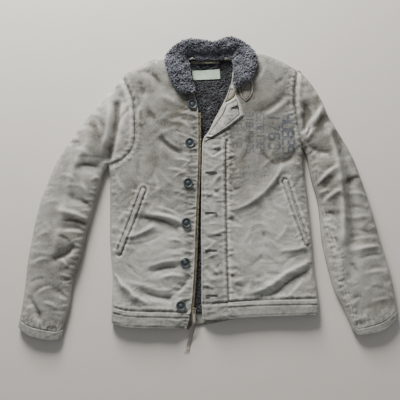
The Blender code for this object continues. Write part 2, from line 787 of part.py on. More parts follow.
def build_back_lining():
    """Pile lining of the back, seen in the neck and the middle gap."""
    y = np.linspace(-268, 348, 18)
    right = (RIGHT_SIDE, RIGHT_ARMHOLE, RIGHT_SHOULDER)
    left = (LEFT_SIDE, LEFT_ARMHOLE, LEFT_SHOULDER)
    x0 = np.maximum(side_at(y, *right) + 16, side_at(y + 18, *right) + 6)
    x1 = np.minimum(side_at(y, *left) - 16, side_at(y + 18, *left) - 6)
    inside_slab("back_lining", x0, x1, y, CLOTH + SEAM_GAP, LINING_PILE, 9, pile())


def build_back_hem_facing():
    """Turned-up hem on the inside of the back."""
    y = np.array([-286.0, -269.0])
    low = np.array([-286.0 - 6.0, -269.0])
    u = np.linspace(0, 1, 13)[:, None]
    x = -192 + (264 + 192) * u + np.zeros((1, 2))
    hem = smooth_curve(BACK_HEM, 40)
    border = np.interp(x[:, 0], hem[:, 0], hem[:, 1]) + 1.5
    grid_y = np.stack([border, np.full(13, y[1])], axis=1)
    base = np.stack([x, grid_y, np.full(x.shape, CLOTH + SEAM_GAP)], axis=-1)
    slab("back_hem_facing", base + np.array([0, 0, BAND_CLOTH]), base, facing_cloth())


# Pieces lying on the panels

class Ground:
    """Heights of the finished solids below a piece."""

    def __init__(self, names):
        depsgraph = bpy.context.evaluated_depsgraph_get()
        self.trees = [BVHTree.FromObject(bpy.data.objects[n], depsgraph) for n in names]

    def at(self, x, y, reach=0.0):
        """Highest surface at a point, or within the reach round it."""
        best = -1.0
        around = [(0, 0)]
        if reach:
            around += [
                (reach * math.cos(a), reach * math.sin(a)) for a in np.arange(0, 2 * math.pi, math.pi / 4)
            ]
        for dx, dy in around:
            start = Vector(to_metres((x + dx, y + dy, 200.0)))
            for tree in self.trees:
                hit = tree.ray_cast(start, Vector((0, 0, -1)))
                if hit[0] is not None:
                    best = max(best, hit[0].z / MM)
        return best

    def over(self, plan, reach=0.0):
        """Heights for a whole grid of plan points."""
        flat = plan.reshape(-1, 2)
        return np.array([self.at(px, py, reach) for px, py in flat]).reshape(plan.shape[:-1])


def layer_on(name, grid, lift, thickness, material, holes=()):
    """A layer that follows a grid of points below it."""
    normals = grid_normals(grid)
    return slab(name, grid + (lift + thickness) * normals, grid + lift * normals, material, holes)


def laid_on(name, plan, ground, lift, thickness, material, reach=3.0, holes=()):
    """A layer laid over finished solids; returns its upper points."""
    base = with_height(plan, ground.over(plan, reach) + lift)
    top = base + np.array([0, 0, thickness])
    slab(name, top, base, material, holes)
    return top


def build_fly_placket(grid):
    """Strip on the left front with four sideways buttonholes."""
    i = np.array(PLACKET_COLUMNS, float)
    rows = np.arange(grid.shape[1], dtype=float)
    middle = bilinear(grid, np.full(len(rows), i[1]), rows)
    def row_at(y):
        return np.interp(y, middle[:-1, 1], rows[:-1])
    last = row_at(PLACKET_HEIGHT_TOP - 8)
    stations = [r for r in rows if r < last - 0.2] + [last]
    for y in BUTTONHOLES:
        pair = [row_at(y - HOLE_HALF_HEIGHT), row_at(y + HOLE_HALF_HEIGHT)]
        stations = [r for r in stations if abs(r - sum(pair) / 2) > 0.12 or r == 0] + pair
    stations = np.array(sorted(stations))
    holes = []
    for y in BUTTONHOLES:
        start = row_at(y - HOLE_HALF_HEIGHT)
        holes.append((1, int(np.argmin(abs(stations - start)))))
    ii, jj = np.meshgrid(i, stations, indexing="ij")
    layer_on("fly_placket", bilinear(grid, ii, jj), ON_TOP, PLACKET_CLOTH, placket_cloth(), holes)


def band_grid(grid, first, last, height):
    """Lowest rows of a front between two columns, up to about the height of the band."""
    columns = np.append(np.arange(first, last, dtype=float), last - 0.08)
    rows = np.arange(grid.shape[1], dtype=float)
    middle = (first + last) // 2
    top = np.interp(grid[middle, 0, 1] + height, grid[middle, :-1, 1], rows[:-1])
    rows = rows[: int(round(top)) + 1]
    return bilinear(grid, *np.meshgrid(columns, rows, indexing="ij"))


def build_right_hem_band(grid):
    """Turned-up hem of the right front."""
    layer_on("right_hem_band", band_grid(grid, 2, len(FRONT_COLUMNS) - 1, 36), BAND_LIFT, BAND_CLOTH,
             band_cloth())


def build_left_hem_band(grid):
    """Turned-up hem of the left front, as far as the placket."""
    layer_on("left_hem_band", band_grid(grid, 2, 13, 36), BAND_LIFT, BAND_CLOTH, band_cloth())


def build_welt(name, pocket, ground):
    """Slanted pocket welt."""
    x0, y0, x1, y1, bulge = pocket
    t = np.linspace(0, 1, 15)[:, None]
    run = np.array([x1 - x0, y1 - y0], float)
    length = np.linalg.norm(run)
    along = run / length
    across = np.array([-along[1], along[0]])
    centre = np.array([x0, y0]) + run * t + np.sign(x0) * across * bulge * 4 * t * (1 - t) * 0
    centre = centre + np.array([bulge, 0]) * (4 * t * (1 - t)) * -0.5
    sides = np.array([-0.5, 0.5])[:, None, None] * WELT_WIDTH * across
    laid_on(name, centre[None] + sides, ground, TRIM_LIFT, WELT_CLOTH, placket_cloth(), 4.0)


def corner_at(c, r):
    """Plan of the turned-back corner: c across from the fold, r up its rows."""
    table = np.array(CORNER, float)
    rows = np.arange(len(table))
    p = [np.interp(r, rows, table[:, k]) for k in range(4)]
    return np.stack([p[0] * (1 - c) + p[2] * c, p[1] * (1 - c) + p[3] * c], axis=-1)


def build_turned_corner():
    """Turned-back top of the left front: facing, fly flap with its buttonhole, and zip tape."""
    c = np.array([0, 0.12, 0.35, 0.6, 0.85, 1.0])
    cc, rr = np.meshgrid(c, np.linspace(0, 6, 13), indexing="ij")
    ground = Ground(["left_front", "fly_placket"])
    laid_on("corner_facing", corner_at(cc, rr), ground, TRIM_LIFT, 2.0, facing_cloth(), 5.0)
    ground = Ground(["corner_facing"])
    c = np.array([0.06, 0.3, 0.5, 0.76, 0.94])
    cc, ss = np.meshgrid(c, [0.12, 0.28, 0.46, 0.62, 0.76, 0.79, 0.9, 1.0], indexing="ij")
    plan = corner_at(cc, ss * (4.0 + 1.1 * cc))
    laid_on("corner_flap", plan, ground, 0.5, 1.8, placket_cloth(), 3.0, holes=[(2, 4)])
    cc, ss = np.meshgrid(np.linspace(0.06, 0.94, 6), [0.0, 0.3], indexing="ij")
    plan = corner_at(cc, 4.14 + 1.1 * cc + ss)
    laid_on("corner_zip_tape", plan, ground, 0.5, 1.4, zip_tape_cloth(), 3.0)


def build_throat_latch(ground):
    """Small tab under the left collar wing."""
    table = np.array(LATCH, float)
    r = np.linspace(0, 4, 9)
    p = [np.interp(r, np.arange(5), table[:, k]) for k in range(4)]
    c = np.array([0, 0.5, 1.0])[:, None]
    plan = np.stack([p[0] * (1 - c) + p[2] * c, p[1] * (1 - c) + p[3] * c], axis=-1)
    laid_on("throat_latch", plan, ground, 1.0, 3.0, placket_cloth(), 4.0)


# Collar

COLLAR_ACROSS = np.array([0.0, 0.06, 0.2, 0.4, 0.6, 0.8, 0.94, 1.0])


def collar_base():
    """Underside of the collar: plan and height, first index across, second along."""
    table = np.array(COLLAR, float)
    stations = np.linspace(0, 1, 31)
    lines = smooth_curve(table, stations)
    share = COLLAR_ACROSS[:, None]
    x = lines[None, :, 0] * (1 - share) + lines[None, :, 2] * share
    y = lines[None, :, 1] * (1 - share) + lines[None, :, 3] * share
    plan = np.stack([x, y], axis=-1)
    ground = Ground(["right_front", "left_front", "throat_latch", "corner_facing", "corner_flap"])
    laid = ground.over(plan, 5.0) + COLLAR_LIFT
    low = np.interp(stations, np.linspace(0, 1, len(table)), table[:, 4])
    high = np.interp(stations, np.linspace(0, 1, len(table)), table[:, 5])
    set_height = np.maximum(low, 0) * (1 - share) + np.maximum(high, 0) * share
    height = np.where(laid > 2.0, np.maximum(laid, 0), 0)
    free = (low[None] > 0) & np.ones_like(share, bool)
    height = np.where(free, np.maximum(set_height, height), np.maximum(height, 8.5))
    for _ in range(2):
        soft = height.copy()
        soft[:, 1:-1] = 0.25 * height[:, :-2] + 0.5 * height[:, 1:-1] + 0.25 * height[:, 2:]
        soft[1:-1] = 0.25 * soft[:-2] + 0.5 * soft[1:-1] + 0.25 * soft[2:]
        height = np.maximum(soft, height)
    return with_height(plan, height)


def build_collar(base):
    """Under-cloth of the collar and the pile on it."""
    up = np.array([0.0, 0.0, 1.0])
    slab("collar_cloth", base + COLLAR_CLOTH * up, base, shell_cloth())
    last = base.shape[1] - 1
    across = np.concatenate([[0.6], np.arange(1, 7), [6.6]])
    along = np.concatenate([[0.3], np.arange(1, last), [last - 0.3]])
    inset = bilinear(base, *np.meshgrid(across, along, indexing="ij"))
    low = inset + (COLLAR_CLOTH + COLLAR_GAP) * up
    round_off = np.sqrt(np.clip(1 - (2 * COLLAR_ACROSS - 1) ** 2, 0, 1))
    along = np.linspace(0, 1, base.shape[1])
    tip = np.clip(np.minimum(along, 1 - along) / 0.12, 0, 1) ** 0.5
    thick = COLLAR_PILE * (0.3 + 0.7 * round_off[:, None]) * (0.45 + 0.55 * tip[None])
    slab("collar_pile", low + thick[..., None] * up, low, pile())


def build_hanger_loop():
    """Strip across the inside of the neck, arched off the lining."""
    t = np.linspace(0, 1, 9)
    x = -22 + 69 * t
    z = CLOTH + SEAM_GAP + LINING_PILE + 0.4 + 4.0 * np.sin(math.pi * t)
    low = np.stack([
        np.stack([x, np.full(9, 338.0), z], axis=-1),
        np.stack([x, np.full(9, 344.0), z], axis=-1),
    ])
    slab("hanger_loop", low + np.array([0, 0, 1.4]), low, loop_cloth())


def build_label():
    """Bare label sewn to the neck lining."""
    z = CLOTH + SEAM_GAP + LINING_PILE + SEAM_GAP
    low = np.array([
        [(-17, 296, z), (-19, 319, z)],
        [(16, 297.5, z), (15, 321, z)],
        [(50, 299, z), (48, 323, z)],
    ], float)
    slab("label", low + np.array([0, 0, 0.8]), low, label_cloth())


# Buttons and zip

def build_button(name, x, y, ground):
    """Turned button with a rim and a raised centre, tilted with the cloth below it."""
    r = BUTTON_RADIUS
    h = BUTTON_THICKNESS
    profile = [
        (0.0, 0.0), (0.80 * r, 0.0), (r, 0.3 * h), (r, 0.72 * h), (0.90 * r, h),
        (0.76 * r, 0.84 * h), (0.34 * r, 0.62 * h), (0.26 * r, 0.82 * h), (0.0, 0.88 * h),
    ]
    mesh = bpy.data.meshes.new(name)
    mesh.from_pydata([(a * MM, 0.0, b * MM) for a, b in profile],
                     [(k, k + 1) for k in range(len(profile) - 1)], [])
    obj = object_from(name, mesh, button_plastic())
    screw = obj.modifiers.new("turned", "SCREW")
    screw.steps = BUTTON_STEPS
    screw.render_steps = BUTTON_STEPS
    screw.use_merge_vertices = True
    screw.merge_threshold = 0.00001
    screw.use_normal_calculate = True
    ring = []
    for k in range(12):
        a = 2 * math.pi * k / 12
        px, py = x + 0.8 * r * math.cos(a), y + 0.8 * r * math.sin(a)
        ring.append((px, py, ground.at(px, py)))
    ring = np.array([p for p in ring if p[2] > 4.0])
    fit, *_ = np.linalg.lstsq(
        np.column_stack([ring[:, 0] - x, ring[:, 1] - y, np.ones(len(ring))]), ring[:, 2], rcond=None
    )
    slope = np.clip(fit[:2], -0.3, 0.3)
    normal = np.array([-slope[0], -slope[1], 1.0])
    normal /= np.linalg.norm(normal)
    lift = 0.0
    for px in np.linspace(-r, r, 9):
        for py in np.linspace(-r, r, 9):
            if math.hypot(px, py) <= r:
                plane = fit[2] + slope[0] * px + slope[1] * py
                lift = max(lift, ground.at(x + px, y + py) - plane)
    centre = np.array([x, y, fit[2] + lift + SEAM_GAP])
    obj.location = Vector(to_metres(centre))
    obj.rotation_mode = "QUATERNION"
    obj.rotation_quaternion = Vector((0, 0, 1)).rotation_difference(Vector(normal))
    return obj


def build_zip_tape(grid):
    """Tape along the edge of the right front, a little below the cloth."""
    rows = np.arange(0, 27)
    edge = grid[-1, rows]
    run = np.gradient(edge[:, :2], axis=0)
    run /= np.linalg.norm(run, axis=1, keepdims=True)
    out = np.stack([run[:, 1], -run[:, 0], np.zeros(len(run))], axis=1)
    start = edge + out * SEAM_GAP + np.array([0, 0, -2.0])
    low = np.stack([start, start + out * 0.5 * ZIP_TAPE_WIDTH, start + out * ZIP_TAPE_WIDTH])
    slab("zip_tape", low + np.array([0, 0, 1.2]), low, zip_tape_cloth())


def box_mesh(bm, x0, x1, y0, y1, z0, z1):
    """Add a box in working millimetres to a bmesh."""
    made = bmesh.ops.create_cube(bm, size=1.0)["verts"]
    low, high = to_metres((x0, y0, z0)), to_metres((x1, y1, z1))
    for vert in made:
        for k in range(3):
            vert.co[k] = high[k] if vert.co[k] > 0 else low[k]


def joined_outline(name, outline, z0, z1, material, hole=None):
    """Flat plate from a ring of plan points, with one hole when given as a second ring."""
    bm = bmesh.new()
    rings = []
    for points in [outline] + ([hole] if hole else []):
        up = [bm.verts.new(to_metres((*p, z1))) for p in points]
        down = [bm.verts.new(to_metres((*p, z0))) for p in points]
        rings.append((up, down))
        for k in range(len(points)):
            n = (k + 1) % len(points)
            bm.faces.new([up[k], down[k], down[n], up[n]])
    if hole:
        (u0, d0), (u1, d1) = rings
        for a, b in ((u0, u1), (d0, d1)):
            for k in range(len(a)):
                n = (k + 1) % len(a)
                bm.faces.new([a[k], a[n], b[n], b[k]])
    else:
        bm.faces.new(rings[0][0])
        bm.faces.new(rings[0][1])
    bmesh.ops.triangulate(bm, faces=bm.faces)
    bmesh.ops.recalc_face_normals(bm, faces=bm.faces)
    mesh = bpy.data.meshes.new(name)
    bm.to_mesh(mesh)
    bm.free()
    return object_from(name, mesh, material)


def build_zip_slider():
    """Slider on the tape with its bridge, one body. Returns the height of its top."""
    x, y = SLIDER_AT
    ground = Ground(["zip_tape"])
    below = [
        ground.at(x + dx, y + dy)
        for dx in np.linspace(-0.5, 0.5, 10) * SLIDER_WIDTH
        for dy in np.linspace(-0.5, 0.5, 10) * SLIDER_LENGTH
    ]
    z0 = max(below) + SEAM_GAP
    z1 = z0 + SLIDER_HEIGHT
    w, l = SLIDER_WIDTH / 2, SLIDER_LENGTH / 2
    side = [
        (y - l, z0), (y + l, z0), (y + l, z1), (y + 3.6, z1), (y + 3.6, z1 + 3.6),
        (y - 3.6, z1 + 3.6), (y - 3.6, z1), (y - l, z1),
    ]
    obj = profile_solid("zip_slider", x, w, side, z0, z1)
    return z1


def profile_solid(name, x, w, side, z0, z1):
    """Slider block with a narrower bridge over it, welded into one body."""
    y = SLIDER_AT[1]
    bm = bmesh.new()
    box_mesh(bm, x - w, x + w, side[0][0], side[1][0], z0, z1)
    mesh = bpy.data.meshes.new(name)
    bm.to_mesh(mesh)
    bm.free()
    obj = object_from(name, mesh, zip_brass())
    bevel = obj.modifiers.new("rounded", "BEVEL")
    bevel.width = 0.8 * MM
    bevel.segments = 2
    bridge = bmesh.new()
    outline = [
        (y - 3.8, z1 - 0.6), (y - 3.8, z1 + 3.6), (y + 3.8, z1 + 3.6), (y + 3.8, z1 - 0.6),
        (y + 2.8, z1 - 0.6), (y + 2.8, z1 + 2.6), (y - 2.8, z1 + 2.6), (y - 2.8, z1 - 0.6),
    ]
    left = [bridge.verts.new(to_metres((x - 1.0, p, q))) for p, q in outline]
    right = [bridge.verts.new(to_metres((x + 1.0, p, q))) for p, q in outline]
    for a, b, c, d in ((0, 1, 6, 7), (1, 2, 5, 6), (2, 3, 4, 5)):
        bridge.faces.new([left[a], left[b], left[c], left[d]])
        bridge.faces.new([right[a], right[b], right[c], right[d]])
    for k in range(8):
        n = (k + 1) % 8
        bridge.faces.new([left[k], left[n], right[n], right[k]])
    bmesh.ops.recalc_face_normals(bridge, faces=bridge.faces)
    cutter_mesh = bpy.data.meshes.new("bridge_form")
    bridge.to_mesh(cutter_mesh)
    bridge.free()
    cutter = bpy.data.objects.new("bridge_form", cutter_mesh)
    bpy.context.scene.collection.objects.link(cutter)
    cutter.hide_render = True
    cutter.display_type = "WIRE"
    join = obj.modifiers.new("bridge", "BOOLEAN")
    join.operation = "UNION"
    join.solver = "EXACT"
    join.object = cutter
    return obj


def build_pull_tab(top):
    """Flat metal tab with a window round the bridge. Returns its height."""
    x, y = SLIDER_AT
    z = top + 0.7
    w = TAB_WIDTH / 2
    end = y - TAB_LENGTH
    outline = [(x - w, y + 0.7), (x + w, y + 0.7), (x + w, end), (x - w, end)]
    window = [(x - 1.7, y - 0.7), (x + 1.7, y - 0.7), (x + 1.7, y - 6.6), (x - 1.7, y - 6.6)]
    joined_outline("pull_tab", outline, z, z + TAB_THICKNESS, tab_metal(), window)
    return z


def build_pull_thong(z):
    """Flat thong from the tab over the hem down to the ground."""
    x, y = SLIDER_AT
    start = (x, y - TAB_LENGTH - 1.6, z + 0.75)
    line = smooth_curve([start] + THONG, 16)
    run = np.gradient(line, axis=0)
    run /= np.linalg.norm(run, axis=1, keepdims=True)
    across = np.stack([-run[:, 1], run[:, 0], np.zeros(len(run))], axis=1)
    across /= np.linalg.norm(across, axis=1, keepdims=True)
    up = np.cross(run, across)
    up *= np.sign(up[:, 2:3])
    sides = np.array([-0.5, 0.5])[:, None, None] * THONG_WIDTH * across[None]
    middle = line[None] + sides
    half = THONG_THICKNESS / 2 * up[None]
    slab("pull_thong", middle + half, middle - half, thong_leather())


def build_panels():
    """Back, fronts, sleeves and cuffs. Returns the outer points of the two fronts."""
    build_back_panel()
    build_back_lining()
    build_back_hem_facing()
    right, rows = front_grid(RIGHT_SIDE, RIGHT_ARMHOLE, RIGHT_HEM, RIGHT_EDGE, RIGHT_SHOULDER)
    build_front("right_front", right, rows)
    left, rows = front_grid(LEFT_SIDE, LEFT_ARMHOLE, LEFT_HEM, LEFT_EDGE, LEFT_SHOULDER)
    build_front("left_front", left, rows)
    sleeves = {
        "right": (RIGHT_SLEEVE_OUTER, RIGHT_SLEEVE_INNER, RIGHT_ARMHOLE, RIGHT_CUFF_END),
        "left": (LEFT_SLEEVE_OUTER, LEFT_SLEEVE_INNER, LEFT_ARMHOLE, LEFT_CUFF_END),
    }
    for side, table in sleeves.items():
        build_sleeve_half(f"{side}_sleeve_top", table, False)
        build_sleeve_half(f"{side}_sleeve_under", table, True)
        build_cuff_band(f"{side}_cuff_band", table[0], table[1], table[3])
    return right, left


def build_trims(right, left):
    """Everything that lies on the panels."""
    build_fly_placket(left)
    build_right_hem_band(right)
    build_left_hem_band(left)
    for side, pocket in POCKETS.items():
        build_welt(f"{side}_welt", pocket, Ground([f"{side}_front"]))
    build_turned_corner()
    build_throat_latch(Ground(["left_front", "corner_facing", "corner_flap"]))
    build_collar(collar_base())
    build_hanger_loop()
    build_label()
    ground = Ground(["right_front", "right_hem_band"])
    names = ["button_throat"] + [f"button_{k}" for k in range(1, 6)]
    for name, (x, y) in zip(names, BUTTONS):
        build_button(name, x, y, ground)
    build_zip_tape(right)
    top = build_zip_slider()
    build_pull_thong(build_pull_tab(top))


def main():
    clear_scene()
    right, left = build_panels()
    build_trims(right, left)


main()
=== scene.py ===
"""Looks of a deck jacket laid flat on its back, front up, the collar toward +Y.

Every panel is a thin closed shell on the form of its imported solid: an even grid in plan between
the panel's own edges, lifted by the laid jacket's height and by its folds, creases and puckers.
Working sizes are millimetres from a point near the middle of the chest; `to_metres` moves them to
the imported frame. Right and left are the wearer's: the wearer's right lies toward -X.
"""
from __future__ import annotations

import logging
import math
from dataclasses import dataclass, field
from enum import Enum
from typing import Callable, Sequence

import bpy
import numpy as np
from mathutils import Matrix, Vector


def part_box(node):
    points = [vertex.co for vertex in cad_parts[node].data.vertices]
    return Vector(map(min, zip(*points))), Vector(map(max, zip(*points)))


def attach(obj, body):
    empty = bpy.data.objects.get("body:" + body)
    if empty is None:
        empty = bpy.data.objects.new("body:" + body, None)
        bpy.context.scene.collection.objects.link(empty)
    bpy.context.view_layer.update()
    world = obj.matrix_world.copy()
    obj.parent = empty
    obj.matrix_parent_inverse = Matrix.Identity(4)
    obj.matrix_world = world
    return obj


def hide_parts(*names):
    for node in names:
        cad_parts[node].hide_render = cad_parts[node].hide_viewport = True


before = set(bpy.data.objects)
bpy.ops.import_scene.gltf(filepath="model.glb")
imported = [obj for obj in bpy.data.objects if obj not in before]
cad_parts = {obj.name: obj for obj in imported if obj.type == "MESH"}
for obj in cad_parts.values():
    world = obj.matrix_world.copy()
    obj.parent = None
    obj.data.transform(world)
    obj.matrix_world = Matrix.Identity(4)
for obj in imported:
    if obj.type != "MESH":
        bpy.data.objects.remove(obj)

LOG = logging.getLogger("deck_jacket")
Array = np.ndarray
Row = tuple[float, ...]

MM = 0.001
CENTRE = np.array([21.5, 21.5, 0.0])
CLOTH = 2.2
SEAM_GAP = 0.3
SEAM_HEIGHT = 8.0
SEAM_WALL = 1.5
RIM = 0.35
JACKET = "jacket"
PULL = "pull"


# Outlines of the laid jacket

@dataclass(frozen=True)
class SideLines:
    """Plan lines of one side of the jacket, each a row of x, y stations."""

    shoulder: Sequence[Row]
    sleeve_outer: Sequence[Row]
    sleeve_inner: Sequence[Row]
    armhole: Sequence[Row]
    side: Sequence[Row]
    hem: Sequence[Row]
    edge: Sequence[Row]
    cuff_end: Sequence[Row]


RIGHT = SideLines(
    shoulder=[(-48, 357), (-91, 350), (-122, 344), (-153, 326), (-178, 313), (-189, 304)],
    sleeve_outer=[
        (-189, 304), (-216, 272), (-271, 207), (-309, 153), (-346, 93), (-366, 43), (-381, 2),
        (-394, -54), (-406, -124), (-414, -205), (-418, -244), (-424, -282)],
    sleeve_inner=[
        (-222, 80), (-228, 71), (-237, 42), (-254, -20), (-268, -75), (-282, -142), (-299, -196),
        (-308, -256), (-321, -306)],
    armhole=[
        (-189, 304), (-172, 264), (-161, 232), (-157, 190), (-157, 146), (-165, 117), (-188, 94),
        (-222, 80)],
    side=[
        (-222, 80), (-217, 52), (-217, 23), (-216, -44), (-215, -99), (-212, -136), (-207, -184),
        (-208, -235), (-209, -291)],
    hem=[(-209, -291), (-170, -300), (-110, -302), (-65, -303), (-32, -304)],
    edge=[
        (-32, -304), (-25, -283), (-19, -237), (-13, -144), (-10, -50), (-6, 46), (-4, 118),
        (-4, 179), (-6, 226), (-14, 258), (-24, 290), (-33, 320), (-48, 357)],
    cuff_end=[(-427, -300), (-404, -318), (-371, -327), (-341, -331), (-324, -325)],
)
LEFT = SideLines(
    shoulder=[(94, 363), (143, 363), (189, 349), (226, 328), (238, 320)],
    sleeve_outer=[
        (238, 320), (249, 314), (276, 281), (298, 242), (315, 200), (339, 159), (366, 109),
        (383, 65), (411, -23), (430, -100), (444, -148), (457, -205), (464, -262)],
    sleeve_inner=[
        (251, 120), (259, 105), (263, 80), (271, 39), (280, 7), (285, -23), (289, -75),
        (291, -100), (299, -142), (309, -184), (320, -220), (338, -256), (356, -297)],
    armhole=[
        (238, 320), (231, 277), (229, 239), (233, 202), (239, 166), (244, 140), (251, 120)],
    side=[
        (251, 120), (251, 90), (253, 49), (256, 29), (261, -29), (266, -91), (270, -160),
        (278, -220), (281, -256), (281, -272)],
    hem=[(281, -272), (210, -273), (132, -276), (60, -281), (6, -284)],
    edge=[
        (6, -284), (4, -236), (4, -167), (3, -74), (4, 21), (5, 93), (8, 143), (23, 167),
        (35, 193), (46, 213), (58, 235), (69, 258), (77, 285), (82, 320), (94, 363)],
    cuff_end=[(467, -278), (432, -305), (399, -315), (371, -318), (358, -308)],
)
BACK_HEM = [(-209, -290), (-110, -297), (-28, -301), (20, -294), (132, -275), (281, -271)]
BACK_NECK = [(-48, 353), (20, 353), (94, 357)]

# Heights of the laid cloth along the length: y, body crown, sleeve crown
CROWNS = [
    (400.0, 24.0, 34.0), (250.0, 27.0, 38.0), (100.0, 27.0, 38.0), (0.0, 25.0, 35.0),
    (-150.0, 23.0, 31.0), (-300.0, 20.0, 21.0), (-400.0, 20.0, 18.0),
]

# Large folds, shared with the solids: x0, y0, x1, y1, half width, height
BODY_FOLDS = [
    (-121, 311, -97, 281, 12, -4.0), (-145, 279, -143, 267, 11, -4.0),
    (-123, 212, -120, 204, 10, -3.5), (-89, 141, -48, 112, 11, -4.5),
    (-118, -36, -40, -55, 12, 4.5), (-141, -46, -56, -70, 10, -3.5),
    (-167, -88, -111, -64, 11, 3.5), (-110, -171, -50, -162, 11, -5.0),
    (-205, -174, -184, -201, 12, 4.0), (-184, -201, -153, -227, 12, 4.5),
    (-153, -227, -121, -245, 12, 3.5), (-133, -222, -73, -237, 11, -4.0),
    (-73, -233, -30, -190, 11, -3.5), (194, 77, 135, 4, 13, 4.5),
    (135, 4, 76, -24, 12, 3.0), (224, 105, 191, 88, 13, -5.0),
    (203, 254, 140, 210, 13, -3.5), (256, -111, 195, -121, 10, 3.5),
    (260, -148, 165, -201, 11, 4.0), (165, -201, 116, -220, 11, 3.5),
    (262, -168, 184, -217, 10, -4.0), (184, -217, 139, -234, 10, -3.0),
    (200, 215, 205, 160, 22, -5.0),
]
SLEEVE_FOLDS = [
    (-200, 227, -221, 100, 12, -8.0), (-190, 250, -186, 237, 10, -4.0),
    (-291, 72, -245, 77, 11, -4.0), (-298, 2, -253, -22, 11, -4.5),
    (-325, -28, -261, -52, 11, 4.0), (-328, -66, -267, -72, 10, -4.0),
    (-337, -139, -301, -118, 11, -6.0), (-338, -215, -317, -224, 9, -3.0),
    (-396, -236, -375, -275, 9, -3.0), (-288, 106, -316, 35, 20, 3.0),
    (-332, -34, -348, -127, 18, 3.0), (259, 225, 260, 180, 15, -9.0),
    (292, 225, 270, 190, 11, 3.0), (265, 165, 255, 146, 10, 4.0),
    (268, 124, 306, 110, 12, -5.0), (280, 35, 318, 70, 10, 4.0),
    (272, 16, 311, 46, 9, -4.0), (291, -8, 326, 20, 10, 3.5),
    (283, -38, 321, -38, 11, -5.0), (306, 172, 329, 46, 15, 4.0),
    (329, 46, 333, -91, 15, 4.5), (333, -91, 322, -180, 14, 3.0),
    (333, 165, 357, 40, 13, -4.0), (357, 40, 363, -95, 13, -5.0),
    (363, -95, 352, -180, 12, -3.5), (362, -119, 415, -111, 9, 3.0),
]

# Creases: x0, y0, x1, y1, sideways bow, half width, height (minus is a trough)
BODY_CREASES = [
    (-161, 222, -208, 117, 6, 4.0, 2.0), (-173, 178, -182, 129, 2, 3.5, -1.6),
    (-153, 311, -121, 311, 3, 6, -1.5), (-121, 311, -97, 281, 3, 5, -1.6),
    (-145, 277, -140, 250, 4, 5, -1.4), (-123, 211, -108, 190, 3, 5, -1.5),
    (-89, 141, -48, 112, -3, 4, -2.0), (-84, 150, -44, 121, -3, 4, 1.5),
    (-62, 166, -43, 156, 2, 3.5, -1.3), (-70, 190, -30, 182, 3, 4, 1.2),
    (-60, 96, -20, 88, 2, 3.5, 1.2), (-80, 72, -24, 60, 4, 4, 1.3),
    (-118, -36, -40, -55, 5, 4.5, 2.4), (-141, -43, -56, -67, 5, 4, -2.0),
    (-104, -18, -44, -42, 4, 3.5, 1.2), (-167, -88, -111, -64, -4, 4.5, 2.0),
    (-150, -105, -96, -88, -3, 4, -1.4), (-110, -171, -50, -162, 4, 4.5, -2.4),
    (-118, -158, -46, -146, 4, 4, 1.6), (-96, -186, -44, -180, 4, 4, 1.4),
    (-205, -174, -184, -201, 2, 4, 1.8), (-184, -201, -153, -227, 3, 4.5, 2.2),
    (-153, -227, -121, -245, 2, 4.5, 1.8), (-133, -218, -73, -233, -4, 4, -2.0),
    (-73, -233, -26, -183, -5, 4, -1.8), (-170, -192, -93, -204, -5, 5, 1.8),
    (-128, -204, -66, -214, -4, 4, 1.4), (-180, -150, -140, -190, 4, 4, -1.2),
    (-196, -60, -170, -30, 4, 5, 1.2), (-206, -110, -178, -140, 3, 4, -1.2),
    (-200, 60, -178, 20, -4, 5, 1.3), (-150, 60, -138, 110, 4, 6, -1.2),
    (-110, 60, -100, 10, 4, 6, 1.0), (-92, 250, -60, 236, 3, 5, 1.1),
    (-60, 300, -36, 270, -3, 4, -1.2), (-138, 238, -150, 180, -4, 5, 1.2),
    (-104, 96, -128, 40, 5, 6, -1.1), (-64, 20, -30, 12, 2, 3.5, 1.1),
    (-76, -96, -38, -100, 2, 3.5, 1.3), (-84, -116, -40, -112, -3, 3.5, -1.2),
    (-72, -130, -40, -132, 2, 3.0, 1.1), (-66, -206, -34, -214, 2, 3.5, 1.3),
    (-60, -256, -36, -230, 3, 3.5, 1.2), (-58, 224, -28, 214, 2, 3.0, -1.1),
    (194, 77, 135, 4, 7, 5, 2.2), (135, 4, 76, -24, 5, 4.5, 1.8),
    (224, 105, 191, 88, 3, 5, -2.0), (203, 254, 140, 210, 5, 5, -1.6),
    (212, 246, 150, 200, 5, 5, 1.2), (256, -111, 195, -121, 3, 4, 1.8),
    (260, -148, 165, -201, -6, 4.5, 2.2), (165, -201, 116, -220, 3, 4.5, 1.8),
    (265, -165, 184, -215, -5, 4, -2.0), (184, -215, 139, -231, 3, 4, -1.6),
    (236, -128, 190, -160, -4, 4, -1.3),
    (206, -60, 176, -100, 4, 5, 1.2), (120, -60, 96, -110, 5, 6, 1.1),
    (150, -130, 110, -160, 4, 5, -1.2), (240, 60, 214, 20, 4, 5, -1.2),
    (180, 140, 160, 100, 4, 6, 1.0), (120, 150, 96, 90, 5, 6, -1.0),
    (210, 310, 176, 280, 4, 6, -1.1), (160, 330, 140, 290, 3, 6, 1.0),
    (240, -190, 200, -232, 3, 4, 1.4), (120, -190, 90, -236, 4, 5, 1.2),
    (100, 30, 70, 22, 2, 4, -1.3), (96, 70, 70, 60, 2, 4, 1.2),
    (102, -66, 68, -58, 2, 4, 1.3), (98, -150, 68, -140, 2, 4, -1.3),
    (104, -186, 68, -196, 2, 4, 1.3), (226, 178, 214, 130, 3, 6, -1.4),
]
